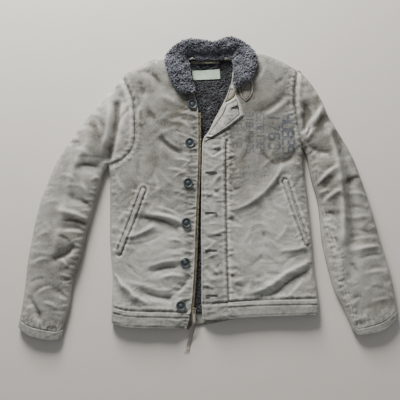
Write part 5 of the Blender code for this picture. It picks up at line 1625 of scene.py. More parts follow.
def curl_mesh(centres: Array, normals: Array, rng: np.random.Generator, radius: float,
              thick: float, steps: int = 5) -> tuple[Array, Array, Array]:
    """Small open rings of wool, one per centre.

    Each is an arc of three quarters of a circle standing on its centre in a random plane, its
    tube four-sided and thinner at both ends.

    Args:
        centres, normals: where each stands and which way is up; rng: the source of unevenness;
        radius, thick: middle radius of the ring and of its tube.
    Returns:
        Points, quads and a tone per point: random per ring, and paler at the top of each ring as a painted
            highlight.
    """
    n = len(centres)
    up = unit(normals)
    turn = rng.uniform(0, 2 * math.pi, n)
    side = np.stack([np.cos(turn), np.sin(turn), np.zeros(n)], axis=1)
    side = unit(side - (side * up).sum(axis=1, keepdims=True) * up)
    flat = np.cross(up, side)
    lean = rng.uniform(0.15, 1.2, n)[:, None]
    up = up * np.cos(lean) + flat * np.sin(lean)
    flat = np.cross(up, side)
    size = (radius * rng.uniform(0.6, 1.35, n))[:, None, None]
    angle = np.linspace(-0.3, 1.25, steps)[None] * math.pi + rng.uniform(-0.4, 0.4, n)[:, None]
    out = np.cos(angle)[..., None] * side[:, None] + np.sin(angle)[..., None] * up[:, None]
    middle = centres[:, None] + 0.45 * size * up[:, None] + size * out
    tube = thick * np.sin(np.linspace(0.18, 0.82, steps) * math.pi)[None, :, None, None]
    tube = tube * rng.uniform(0.75, 1.3, n)[:, None, None, None]
    phi = np.arange(4) * math.pi / 2
    ring = (np.cos(phi)[None, None, :, None] * out[:, :, None]
            + np.sin(phi)[None, None, :, None] * flat[:, None, None])
    points = (middle[:, :, None] + tube * ring).reshape(-1, 3)
    faces = copied(outward(points[: 4 * steps], square_tube(steps)), n, 4 * steps)
    tone = rng.beta(1.6, 1.9, n)[:, None, None]
    tone = tone + 0.45 * soft_noise(centres[:, 0], centres[:, 1], 9.0, 31)[:, None, None]
    # Painted highlight: each ring paler toward its top.
    high = (0.5 + 0.5 * np.sin(angle))[..., None]
    wear_and_shade = np.broadcast_to(np.clip(0.12 + 0.6 * tone + 0.32 * high - 0.1, 0, 1), (n, steps, 4))
    return points, faces, wear_and_shade.ravel()


# Pieces on the panels

class NodeRelief:
    """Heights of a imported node, read from its triangles in working millimetres."""

    def __init__(self, node: str) -> None:
        """Read the node's triangles."""
        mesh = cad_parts[node].data
        points = np.zeros(len(mesh.vertices) * 3, np.float32)
        mesh.vertices.foreach_get("co", points)
        mesh.calc_loop_triangles()
        corner = np.zeros(len(mesh.loop_triangles) * 3, np.int32)
        mesh.loop_triangles.foreach_get("vertices", corner)
        self.points = points.reshape(-1, 3).astype(float) / MM + CENTRE
        self.tri = self.points[corner.reshape(-1, 3)]

    def read(self, x: Array, y: Array, top: bool = True) -> Array:
        """Highest or lowest height at each point, where a triangle lies over it.

        A point is in a triangle when its three area shares are all positive; its height is the
        corners' heights weighed by those shares. Elsewhere the nearest corner's height is taken.

        Args:
            x, y: plan points; top: the upper surface, or else the lower one.
        Returns:
            Heights.
        """
        a, b, c = (self.tri[:, k] for k in range(3))
        area = (b[:, 0] - a[:, 0]) * (c[:, 1] - a[:, 1]) - (c[:, 0] - a[:, 0]) * (b[:, 1] - a[:, 1])
        use = np.abs(area) > 1e-3
        a, b, c, area = a[use], b[use], c[use], area[use]
        px, py = np.ravel(x)[:, None], np.ravel(y)[:, None]
        s = ((px - a[:, 0]) * (c[:, 1] - a[:, 1]) - (c[:, 0] - a[:, 0]) * (py - a[:, 1])) / area
        t = ((b[:, 0] - a[:, 0]) * (py - a[:, 1]) - (px - a[:, 0]) * (b[:, 1] - a[:, 1])) / area
        inside = (s > -1e-4) & (t > -1e-4) & (s + t < 1.0002)
        z = a[:, 2] + s * (b[:, 2] - a[:, 2]) + t * (c[:, 2] - a[:, 2])
        z = np.where(inside, z, -1e6 if top else 1e6)
        out = z.max(axis=1) if top else z.min(axis=1)
        lost = np.abs(out) > 1e5
        if lost.any():
            gap = (px[lost] - self.points[None, :, 0]) ** 2 + (py[lost] - self.points[None, :, 1]) ** 2
            near = np.argsort(gap, axis=1)[:, :4]
            heights = self.points[near, 2]
            out[lost] = heights.max(axis=1) if top else heights.min(axis=1)
        return out.reshape(np.shape(x))


def highest_near(height: Callable[[Array, Array], Array], x: Array, y: Array, reach: float) -> Array:
    """Highest surface within a reach of each point, looked at in eight directions.

    Args:
        height: what gives the height; x, y: plan points; reach: how far to look in mm.
    Returns:
        The highest of the heights found.
    """
    best = height(x, y)
    for angle in np.arange(8) * math.pi / 4:
        best = np.maximum(best, height(x + reach * math.cos(angle), y + reach * math.sin(angle)))
    return best


def body_top(x: Array, y: Array) -> Array:
    """Height of the finished fronts."""
    return FORM.top(x, y, Layer.BODY)


def sleeve_top(x: Array, y: Array) -> Array:
    """Height of the finished sleeves."""
    return FORM.top(x, y, Layer.SLEEVE)


def laid_strip(name: str, plan: Array, base: Array, thickness: Array | float, finish: WovenCloth,
               slot: str, seed: int, replaces: Sequence[str],
               holes: Array | None = None, lumps: float = 1.0, border: float = 0.8) -> Piece:
    """A trim laid over other cloth: its base height, and its thickness with small lumps on top.

    Args:
        name, slot, replaces: as make_shell takes them; plan: its grid; base,
        thickness: heights; finish: its cloth; seed: which unevenness; holes: open cells; lumps: how
        uneven; border: how deep the stitched groove near the edge is.
    Returns:
        The finished piece.
    """
    x, y = plan[..., 0], plan[..., 1]
    lump = lumps * (0.35 * soft_noise(x, y, 11, seed) + 0.3 * crumple(x, y, 8, seed + 1))
    inward = edge_share(plan.shape[:2])
    round_it = np.minimum(1.0, 0.55 + 0.9 * inward)
    stitched = bell(inward - 0.15, 0.035)
    top = base + (thickness + lump - border * stitched) * round_it
    grid = with_height(plan, np.maximum(top, base + 0.6))
    wear_and_shade = wear_and_shade_from_relief(2.0 * (top - blurred(top, 20)) + lump)
    # Paler at the outer border from rubbing; darker in the stitched groove as painted shade.
    wear_and_shade = np.clip(wear_and_shade + 0.35 * (inward < 0.10) - 0.6 * border * stitched, 0, 1)
    piece = make_shell(name, grid, with_height(plan, base), wear_and_shade, finish, slot, replaces, holes)
    return piece


def edge_share(size: tuple[int, int]) -> Array:
    """How far in a grid point is, from 0 on the border to 0.5 in the middle of the shorter way."""
    i = np.linspace(0, 1, size[0])[:, None]
    j = np.linspace(0, 1, size[1])[None]
    short = min(size)
    return np.minimum(np.minimum(i, 1 - i) * size[0] / short, np.minimum(j, 1 - j) * size[1] / short)


@dataclass
class Placket:
    """Strip along the left front edge, open at its four sideways buttonholes."""

    front: FrontPanel
    columns: int = 27
    lift: float = 0.35
    thickness: float = 2.0

    def build(self) -> Piece:
        """The front's own points, raised; rows beside each buttonhole are set on its borders."""
        grid, shares = self.front.grid, self.front.shares
        wanted = np.unique(np.round(np.concatenate(
            [np.linspace(PLACKET_FROM, HOLE_FROM, 10), np.linspace(HOLE_FROM, HOLE_TO, 11),
             np.linspace(HOLE_TO, 1, 7)]), 6))
        i = np.interp(wanted, shares, np.arange(len(shares)))
        rows = np.arange(grid.shape[1], dtype=float)
        middle = sampled(grid, np.full(len(rows), self.front.place(HOLE_FROM)), rows)
        last = float(np.interp(PLACKET_TOP - 8, middle[:, 1], rows))
        stations = np.append(rows[rows < last - 0.2], last)
        pairs = []
        for y in BUTTONHOLES:
            pair = np.interp([y - HOLE_HALF_HEIGHT, y + HOLE_HALF_HEIGHT], middle[:, 1], rows)
            stations = stations[np.abs(stations - pair.mean()) > 0.9]
            pairs.append(pair)
        stations = np.sort(np.concatenate([stations, *pairs]))
        ii, jj = np.meshgrid(i, stations, indexing="ij")
        under = sampled(grid, ii, jj)
        x, y = under[..., 0], under[..., 1]
        u = (wanted - PLACKET_FROM) / (1 - PLACKET_FROM)
        roll = rounded(2 * u - 1, 8)[:, None]
        groove = (bell(u - 0.06, 0.03) + bell(u - 0.93, 0.03))[:, None]
        lump = 0.4 * soft_noise(x, y, 16, 61) + 0.15 * crumple(x, y, 10, 62)
        up = self.lift + self.thickness * (0.55 + 0.45 * roll) + lump * roll - 0.7 * groove
        top, base = raised(under, up), raised(under, self.lift)
        holes = np.zeros((len(i) - 1, len(stations) - 1), bool)
        cols = slice(int(np.argmin(np.abs(wanted - HOLE_FROM))), int(np.argmin(np.abs(wanted - HOLE_TO))))
        for pair in pairs:
            holes[cols, int(np.argmin(np.abs(stations - pair[0])))] = True
        wear_and_shade = wear_and_shade_from_relief((top[..., 2] - blurred(top[..., 2], 40)) + lump, 9, 0.24)
        wear_and_shade = np.clip(wear_and_shade + 0.3 * (u < 0.04)[:, None] + 0.25 * (u > 0.97)[:, None], 0, 1)
        piece = make_shell("fly_placket", top, base, wear_and_shade, PLACKET, "placket_cloth", ["fly_placket"], holes)
        return piece


@dataclass
class HemBand:
    """Turned-up hem of a front: its lowest rows, raised."""

    name: str
    front: FrontPanel
    last: float
    height: float = 36.0

    def build(self) -> Piece:
        """The front's own points from the side to the placket or the edge."""
        grid = self.front.grid
        i = np.linspace(self.front.place(0.02), self.front.place(self.last) - 0.3, 120)
        rows = np.arange(grid.shape[1], dtype=float)
        middle = grid[grid.shape[0] // 2]
        top_row = float(np.interp(middle[0, 1] + self.height, middle[:, 1], rows))
        j = np.linspace(0, round(top_row), 24)
        under = sampled(grid, *np.meshgrid(i, j, indexing="ij"))
        x, y = under[..., 0], under[..., 1]
        v = np.linspace(0, 1, 24)[None]
        roll = rounded(2 * v - 1, 6)
        lump = 0.12 * crumple(x, y, 9, 71) + 0.3 * np.maximum(0, soft_noise(1.4 * x, 0.5 * y, 9, 72))
        groove = bell(v - 0.9, 0.04) + bell(v - 0.70, 0.05) + 0.8 * bell(v - 0.1, 0.05)
        up = 0.5 + 1.9 * (0.4 + 0.6 * roll) + lump * roll - 1.1 * groove
        top, base = raised(under, np.maximum(up, 0.9)), raised(under, 0.5)
        wear_and_shade = wear_and_shade_from_relief((top[..., 2] - blurred(top[..., 2], 30)) + lump, 9, 0.22)
        wear_and_shade = np.clip(wear_and_shade + 0.3 * (v > 0.96) + 0.3 * (v < 0.04), 0, 1)
        piece = make_shell(self.name, top, base, wear_and_shade, BANDS, "band_cloth", [self.name])
        return piece


@dataclass
class Welt:
    """Slanted pocket welt."""

    name: str
    front: str
    pocket: Row
    width: float = 9.0
    cloth: float = 3.0

    def plan(self, across: Array, along: Array) -> Array:
        """Plan points: a straight line between the pocket's ends, bowed outward at the middle."""
        x0, y0, x1, y1, bulge = self.pocket
        run = np.array([x1 - x0, y1 - y0], float)
        t = along[None, :, None]
        centre = np.array([x0, y0]) + run * t + np.array([bulge, 0]) * (4 * t * (1 - t)) * -0.5
        return centre - across[:, None, None] * self.width * unit(square_to(run))

    def build(self) -> Piece:
        """A strip laid over the front, flattened along its seam."""
        plan = self.plan(np.linspace(-0.5, 0.5, 10), np.linspace(0, 1, 90))
        base = highest_near(body_top, plan[..., 0], plan[..., 1], 1.5) + 0.5
        base = np.maximum(blurred(base, 12), base)
        return laid_strip(self.name, plan, base, self.cloth, PLACKET, "placket_cloth", 81,
                          [self.name], lumps=0.35, border=0.3)


CORNER = np.array([
    (9, 142, 13, 141), (20, 161, 37, 155), (33, 187, 70, 174), (45, 211, 105, 201),
    (56, 232, 99, 228), (67, 255, 87, 251), (75, 280, 80, 279)], float)
LATCH = np.array([
    (93, 290, 124, 292), (93, 272, 129, 274), (96, 256, 127, 257), (102, 244, 120, 245),
    (109, 238, 112, 238)], float)
COLLAR = np.array([
    (-13, 259, -19, 256), (-16, 268, -44, 257), (-20, 282, -62, 273), (-25, 302, -76, 298),
    (-29, 325, -84, 324), (-32, 345, -86, 344), (-30, 357, -75, 361), (-22, 357, -54, 380),
    (-8, 356, -28, 393), (14, 356, 6, 389), (36, 357, 40, 387), (56, 359, 69, 397),
    (70, 361, 94, 391), (79, 361, 117, 379), (82, 350, 136, 360), (84, 333, 139, 340),
    (85, 314, 136, 318), (84, 296, 127, 295), (84, 281, 112, 280), (85, 269, 93, 270)], float)

PILE_CREASES = [(2.2, [(112, 352), (96, 330), (88, 300)]), (2.0, [(-30, 349), (-60, 352), (-86, 352)])]


def ruled(table: Array, c: Array, r: Array) -> Array:
    """Plan points between two edges given row by row: c across, r in rows."""
    ends, c = on_line(table, np.arange(len(table)), r), c[..., None]
    return ends[..., :2] * (1 - c) + ends[..., 2:] * c


class TurnedCorner:
    """Turned-back top of the left front: facing, fly flap with a buttonhole, zip tape."""

    def stack(self, x: Array, y: Array) -> Array:
        """Height of the front and of the placket where it lies on it."""
        edge = np.array(LEFT.edge, float)
        under = (x < np.interp(y, edge[:, 1], edge[:, 0]) + 62) & (y < PLACKET_TOP)
        return body_top(x, y) + 2.6 * under

    def build(self) -> list[Piece]:
        """The facing on the front, then the flap and the tape on the facing."""
        c, r = np.meshgrid(np.linspace(0, 1, 44), np.linspace(0, 6, 96), indexing="ij")
        plan = ruled(CORNER, c, r)
        x, y = plan[..., 0], plan[..., 1]
        solid = NodeRelief("corner_facing")
        base = np.maximum(blurred(highest_near(self.stack, x, y, 3.0), 6) + 0.6, self.stack(x, y) + 0.3)
        base = np.maximum(base, solid.read(x, y, False) - 1.0)
        swell = 1.8 + 2.2 * bell(c, 0.07)
        facing = laid_strip("corner_facing", plan, base, swell, FACING, "facing_cloth", 91,
                            ["corner_facing"])
        upper = base + swell

        def on_facing(px: Array, py: Array) -> Array:
            """Height of the facing at its nearest grid point."""
            table = np.stack([x.ravel(), y.ravel()], axis=1)
            gap = ((px.ravel()[:, None] - table[None, :, 0]) ** 2
                   + (py.ravel()[:, None] - table[None, :, 1]) ** 2)
            return upper.ravel()[gap.argmin(axis=1)].reshape(px.shape)

        rows = np.concatenate([np.linspace(0.12, 0.74, 40), [0.76, 0.79], np.linspace(0.81, 1.0, 12)])
        cols = np.sort(np.concatenate([np.linspace(0.06, 0.48, 14), [0.5], np.linspace(0.52, 0.74, 9),
                                       [0.76], np.linspace(0.78, 0.94, 7)]))
        cc, ss = np.meshgrid(cols, rows, indexing="ij")
        plan = ruled(CORNER, cc, ss * (4.0 + 1.1 * cc))
        base = blurred(on_facing(plan[..., 0], plan[..., 1]), 3) + 0.9
        holes = np.zeros((len(cols) - 1, len(rows) - 1), bool)
        left, right = (int(np.argmin(abs(cols - end))) for end in (0.5, 0.76))
        holes[left:right, int(np.argmin(abs(rows - 0.76)))] = True
        flap = laid_strip("corner_flap", plan, base, 1.8, PLACKET, "placket_cloth", 93,
                          ["corner_flap"], holes)
        cc, ss = np.meshgrid(np.linspace(0.06, 0.94, 60), np.linspace(0, 0.3, 6), indexing="ij")
        plan = ruled(CORNER, cc, 4.14 + 1.1 * cc + ss)
        base = blurred(on_facing(plan[..., 0], plan[..., 1]), 3) + 0.9
        tape = laid_strip("corner_zip_tape", plan, base, 1.2, TAPE, "zip_tape_cloth", 95,
                          ["corner_zip_tape"])
        line = ruled(CORNER, np.linspace(0.08, 0.92, 200), 4.14 + 1.1 * np.linspace(0.08, 0.92, 200) + 0.02)
        z = on_facing(line[:, 0], line[:, 1]) + 2.1
        teeth = tooth_row("corner_teeth", with_height(line, z), 3.0)
        return [facing, flap, tape, teeth]


def build_latch() -> Piece:
    """Small worn tab under the left collar wing."""
    c, r = np.meshgrid(np.linspace(0, 1, 24), np.linspace(0, 4, 40), indexing="ij")
    plan = ruled(LATCH, c, r)
    low = NodeRelief("throat_latch").read(plan[..., 0], plan[..., 1], False)
    base = np.maximum(blurred(low, 4), highest_near(body_top, plan[..., 0], plan[..., 1], 2.0) + 0.8)
    return laid_strip("throat_latch", plan, base, 3.0, LATCH_CLOTH, "placket_cloth", 97,
                      ["throat_latch"])


@dataclass
class Collar:
    """Under-cloth of the collar, the pile on it and the pile's curls."""

    across: int = 40
    along: int = 200
    curls: int = 4600

    def plan(self, share: Array, along: Array) -> Array:
        """Plan points of the collar: share is 0 at its inner side and 1 at its outer one.

        Args:
            share: across; along: along its length.
        Returns:
            Plan points.
        """
        lines, s = smooth_curve(COLLAR, along)[None], share[..., None]
        return lines[..., :2] * (1 - s) + lines[..., 2:] * s

    def build(self) -> list[Piece]:
        """Heights are the solids' own; lumps, a rolled border and curls are added."""
        share, along = np.linspace(0.12, 1.0, self.across), np.linspace(0, 1, self.along)
        plan = self.plan(share[:, None], along)
        x, y = plan[..., 0], plan[..., 1]
        cloth = NodeRelief("collar_cloth")
        low = blurred(cloth.read(x, y, False), 4)
        low = np.maximum(low, cloth.read(x, y, False))
        under = make_shell("collar_cloth", with_height(plan, low + 2.0), with_height(plan, low),
                           np.full(x.shape, 0.5), SLEEVES, "shell_cloth", ["collar_cloth"])
        along = np.linspace(0.006, 0.994, self.along)
        inward = 0.05 + 0.26 * ease((smooth_curve(COLLAR, along)[:, 1] - 346) / 9)
        share = np.linspace(0, 1, self.across)[:, None] * (0.965 + inward) - inward
        x, y = np.moveaxis(self.plan(np.maximum(share, 0.035), along), -1, 0)
        plan = self.plan(share, along)
        pile = NodeRelief("collar_pile")
        base = blurred(pile.read(x, y, False), 4)
        top = blurred(pile.read(x, y, True), 10)
        lump = 2.0 * soft_noise(x, y, 12, 111) + 1.2 * soft_noise(x, y, 6, 112)
        crease = sum(depth * bell(distance_to(np.array(line, float), x, y), 4)
                     for depth, line in PILE_CREASES)
        round_it = rounded(np.linspace(-1, 1, self.across), 4)[:, None]
        top = np.maximum(top - 1.5 + (lump - crease) * round_it, base + 1.5)
        # Tone of the pile between the curls, paler where its lumps stand higher.
        wear_and_shade = np.clip(0.35 + 0.25 * lump, 0, 1)
        grid = with_height(plan, top)
        body = make_shell("collar_pile", grid, with_height(plan, base), wear_and_shade, COLLAR_WOOL, "pile",
                          ["collar_pile"])
        rng = np.random.default_rng(211)
        width = np.linalg.norm(grid[-1] - grid[0], axis=-1)
        chance = np.cumsum(width) / width.sum()
        j = np.interp(rng.random(self.curls), chance, np.arange(self.along))
        i = rng.uniform(0, self.across - 1, self.curls)
        centres, normals = sampled(grid, i, j), sampled(grid_normals(grid), i, j)
        points, faces, tone = curl_mesh(centres, normals, rng, 2.3, 0.85)
        curls = Piece("collar_curls", points, faces)
        curls.attribute("wear_and_shade", tone).finish(dressed(COLLAR_WOOL), "pile")
        return [under, body, curls]


def tooth_row(name: str, line: Array, pitch: float) -> Piece:
    """Zip teeth: small six-sided blocks at even steps along a line.

    Args:
        name: the object; line: points along it; pitch: from tooth to tooth in mm.
    Returns:
        The finished piece.
    """
    size = np.linalg.norm(np.diff(line, axis=0), axis=1).sum()
    t = np.arange(0.5, size / pitch - 0.5) * pitch / size
    along = length_shares(line)
    at = on_line(line, along, t)
    run = on_line(line, along, np.minimum(t + 0.01, 1)) - at
    run[:, 2] = 0
    run = unit(run)
    side = with_height(square_to(run), np.zeros(len(run)))
    box = np.array([(-1, -1, 0), (1, -1, 0), (1, 1, 0), (-1, 1, 0), (-0.8, -0.8, 1), (0.8, -0.8, 1),
                    (0.8, 0.8, 1), (-0.8, 0.8, 1)], float)
    points = (at[:, None] + box[None, :, :1] * side[:, None] * 1.7 + box[None, :, 1:2] * run[:, None] * 0.8
              + box[None, :, 2:] * np.array([0, 0, 1.3]))
    faces = copied(outward(points[0], square_tube(2)), len(at), 8)
    return Piece(name, points.reshape(-1, 3), faces).finish(dressed(BRASS), "zip_brass")


class ZipSide:
    """Tape and teeth along the edge of the right front."""

    width: float = 6.4

    def build(self) -> list[Piece]:
        """Tape a little under the cloth's edge, teeth along its outer border."""
        top_y = float(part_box("zip_tape")[1][1]) / MM + CENTRE[1]
        edge = smooth_curve(RIGHT.edge, 600)
        edge = edge[(edge[:, 1] < top_y)]
        out = unit(square_to(np.gradient(edge, axis=0)))
        solid = NodeRelief("zip_tape")
        u = np.linspace(0.3, self.width, 7)[:, None, None]
        plan = edge[None] + out[None] * u
        base = blurred(solid.read(plan[..., 0], plan[..., 1], False), 8)
        top = with_height(plan, base + 1.2)
        wear_and_shade = np.clip(0.4 + 0.5 * soft_noise(plan[..., 0], plan[..., 1], 8, 121), 0, 1)
        tape = make_shell("zip_tape", top, with_height(plan, base), wear_and_shade, TAPE, "zip_tape_cloth",
                          ["zip_tape"])
        keep = edge[:, 1] > -252
        line = with_height(plan[5][keep], base[5][keep] + 1.1)
        return [tape, tooth_row("zip_teeth", line, 3.0)]


@dataclass
class Button:
    """Turned button with a rim, a dished face and a raised centre."""

    name: str
    radius: float = 11.7
    thickness: float = 4.2
    steps: int = 44

    def build(self) -> Piece:
        """The profile turned round the solid's own axis: the direction in which it is thinnest."""
        points = NodeRelief(self.name).points
        low, high = points.min(axis=0), points.max(axis=0)
        middle = (low + high) / 2
        _, _, axes = np.linalg.svd(points - points.mean(axis=0), full_matrices=False)
        up = axes[2] * np.sign(axes[2][2])
        depth = (points - middle) @ up
        middle = middle + up * depth.min()
        r, h = self.radius, self.thickness
        profile = np.array([
            (0.001, 0.0), (0.6 * r, 0.0), (0.80 * r, 0.02 * h), (0.94 * r, 0.14 * h), (r, 0.38 * h),
            (r, 0.66 * h), (0.975 * r, 0.86 * h), (0.91 * r, 0.99 * h), (0.85 * r, 0.97 * h),
            (0.78 * r, 0.82 * h), (0.66 * r, 0.68 * h), (0.45 * r, 0.62 * h), (0.36 * r, 0.66 * h),
            (0.29 * r, 0.80 * h), (0.20 * r, 0.87 * h), (0.001, 0.88 * h)])
        # Painted highlight and shade on the profile: paler on the rim's top and the raised centre, darker in
        # the dish and underneath.
        tone = np.array([0, 0, 0, 0.1, 0.3, 0.5, 0.8, 0.95, 0.7, 0.25, 0.15, 0.12, 0.3, 0.75, 0.6, 0.45])
        side = unit(np.cross(up, [0.0, 1.0, 0.0]))
        other = np.cross(up, side)
        angle = np.arange(self.steps) * 2 * math.pi / self.steps
        ring = np.cos(angle)[:, None] * side + np.sin(angle)[:, None] * other
        grid = middle + profile[:, None, :1] * ring[None] + profile[:, None, 1:] * up
        n, m = grid.shape[:2]
        caps = [list(range(m))[::-1], list(range((n - 1) * m, n * m))]
        piece = Piece(self.name + "_turned", grid.reshape(-1, 3), ring_quads(n, m).tolist() + caps)
        piece.attribute("wear_and_shade", np.repeat(tone, m))
        return piece.finish(dressed(TurnedPlastic()), "button_plastic", [self.name])


@dataclass
class ButtonholeRings:
    """Close dense stitches round each buttonhole: a raised ring of short cross stitches, coloured dark as
    painted shade of the slot.
    """

    front: FrontPanel
    thick: float = 1.2

    def ring(self, start: Array, end: Array, height: Callable[[Array, Array], Array]) -> tuple[Array, Array]:
        """A racetrack round a slot: points of a tube whose thickness pulses with each stitch.

        Args:
            start, end: ends of the buttonhole; height: height of the cloth at plan points.
        Returns:
            Points and faces of its rim.
        """
        n, m = 96, 6
        t = np.linspace(0, 2 * math.pi, n, endpoint=False)
        size = np.linalg.norm(end - start)
        run = (end - start) / size
        half, gap = size / 2 + 1.0, 1.9
        along = np.clip(np.cos(t) * (half + 3.0), -half, half) + 1.2 * np.cos(t)
        across = gap * np.sign(np.sin(t)) * np.abs(np.sin(t)) ** 0.25
        plan = (start + end) / 2 + along[:, None] * run - across[:, None] * square_to(run)
        line = with_height(plan, height(plan[:, 0], plan[:, 1]) + 0.35)
        tangent = unit(np.roll(line, -1, axis=0) - np.roll(line, 1, axis=0))
        out = np.cross(tangent, [0.0, 0.0, 1.0])
        up = np.cross(out, tangent)
        pulse = self.thick * (0.8 + 0.2 * np.cos(np.arange(n) * math.pi))[:, None, None]
        phi = np.arange(m) * 2 * math.pi / m
        tube = line[:, None] + pulse * (np.cos(phi)[None, :, None] * out[:, None]
                                        + 0.7 * np.sin(phi)[None, :, None] * up[:, None])
        points = tube.reshape(-1, 3)
        return points, outward(points, ring_quads(n, m, closed=True))

    def build(self, corner_height: Callable[[Array, Array], Array]) -> Piece:
        """Rings round the four slots of the placket and the one of the turned corner."""
        grid, shares = self.front.grid, self.front.shares
        rows = np.arange(grid.shape[1], dtype=float)
        cuts = []
        for y in BUTTONHOLES:
            middle = sampled(grid, np.full(len(rows), self.front.place(HOLE_FROM)), rows)
            row = float(np.interp(y, middle[:, 1], rows))
            ends = [sampled(grid, np.array([np.interp(u, shares, np.arange(len(shares)))]),
                            np.array([row]))[0, :2]
                    for u in (HOLE_FROM, HOLE_TO)]
            cuts.append((ends[0], ends[1], lambda px, py: body_top(px, py) + 2.3))
        c = np.array([0.5, 0.76])
        ends = ruled(CORNER, c, 0.775 * (4.0 + 1.1 * c))
        cuts.append((ends[0], ends[1], corner_height))
        points, faces, count = [], [], 0
        for start, end, height in cuts:
            p, f = self.ring(np.array(start, float), np.array(end, float), height)
            points.append(p)
            faces.append(f + count)
            count += len(p)
        piece = Piece("buttonhole_stitches", np.concatenate(points), np.concatenate(faces))
        piece.attribute("wear_and_shade", np.tile([0.75, 0.35], count // 2 + 1)[:count])
        flat = np.concatenate(points)[:, :2] * MM
        piece.unwrap(flat)
        # The dark thread stands in for the shade inside each slot.
        return piece.finish(dressed(SLOT_SHADE_STITCHES), "placket_cloth")


@dataclass(frozen=True)
class StitchRow:
    """One row of lock stitches along a plan line on some cloth."""

    line: Sequence[Row]
    height: Callable[[Array, Array], Array]
    lift: float = 0.1
    pitch: float = 3.8


def stitch_rows(name: str, rows: Sequence[StitchRow], finish: WovenCloth, radius: float = 0.24) -> Piece:
    """Stitches as small spindles: a square waist between two tips, laid end to end with gaps.

    Args:
        name: the object; rows: where they run; finish: the thread; radius: of the thread in mm.
    Returns:
        The finished piece.
    """
    starts, ends = [], []
    for row in rows:
        dense = smooth_curve(row.line, 600)
        size = np.linalg.norm(np.diff(dense, axis=0), axis=1).sum()
        t0 = np.arange(0, size - row.pitch, row.pitch) / size
        t1 = t0 + 0.74 * row.pitch / size
        for t, kept in ((t0, starts), (t1, ends)):
            at = on_line(dense[:, :2], np.linspace(0, 1, 600), t)
            kept.append(with_height(at, row.height(at[:, 0], at[:, 1]) + row.lift))
    a, b = np.concatenate(starts), np.concatenate(ends)
    run = unit(b - a)
    side = unit(np.cross(run, [0.0, 0.0, 1.0]))
    up = np.cross(side, run)
    corners = np.array([(1, 0), (0, 1), (-1, 0), (0, -1)], float)
    ring = radius * (corners[None, :, :1] * side[:, None] + corners[None, :, 1:] * 0.8 * up[:, None])
    near = (a * 0.72 + b * 0.28)[:, None] + ring
    far = (a * 0.28 + b * 0.72)[:, None] + ring
    points = np.concatenate([a[:, None], near, far, b[:, None]], axis=1)
    k = np.arange(4)
    n = (k + 1) % 4
    one = np.concatenate([
        np.stack([np.zeros(4, int), 1 + n, 1 + k], axis=1), np.stack([1 + k, 1 + n, 5 + n], axis=1),
        np.stack([1 + k, 5 + n, 5 + k], axis=1), np.stack([5 + k, 5 + n, np.full(4, 9)], axis=1)])
    piece = Piece(name, points.reshape(-1, 3), copied(outward(points[0], one), len(a), 10))
    rng = np.random.default_rng(401)
    piece.attribute("wear_and_shade", np.repeat(rng.uniform(0.3, 1.0, len(a)), 10))
    piece.unwrap(points.reshape(-1, 3)[:, :2] * MM)
    return piece.finish(dressed(finish), "shell_cloth")


def shifted(line: Sequence[Row], dx: float, dy: float) -> list[Row]:
    """A line moved in plan."""
    return [(x + dx, y + dy) for x, y in line]


def beside(line: Sequence[Row], offset: float) -> Array:
    """A line moved sideways by an offset, square to its run."""
    dense = smooth_curve(line, 60)
    return dense - offset * unit(square_to(np.gradient(dense, axis=0)))


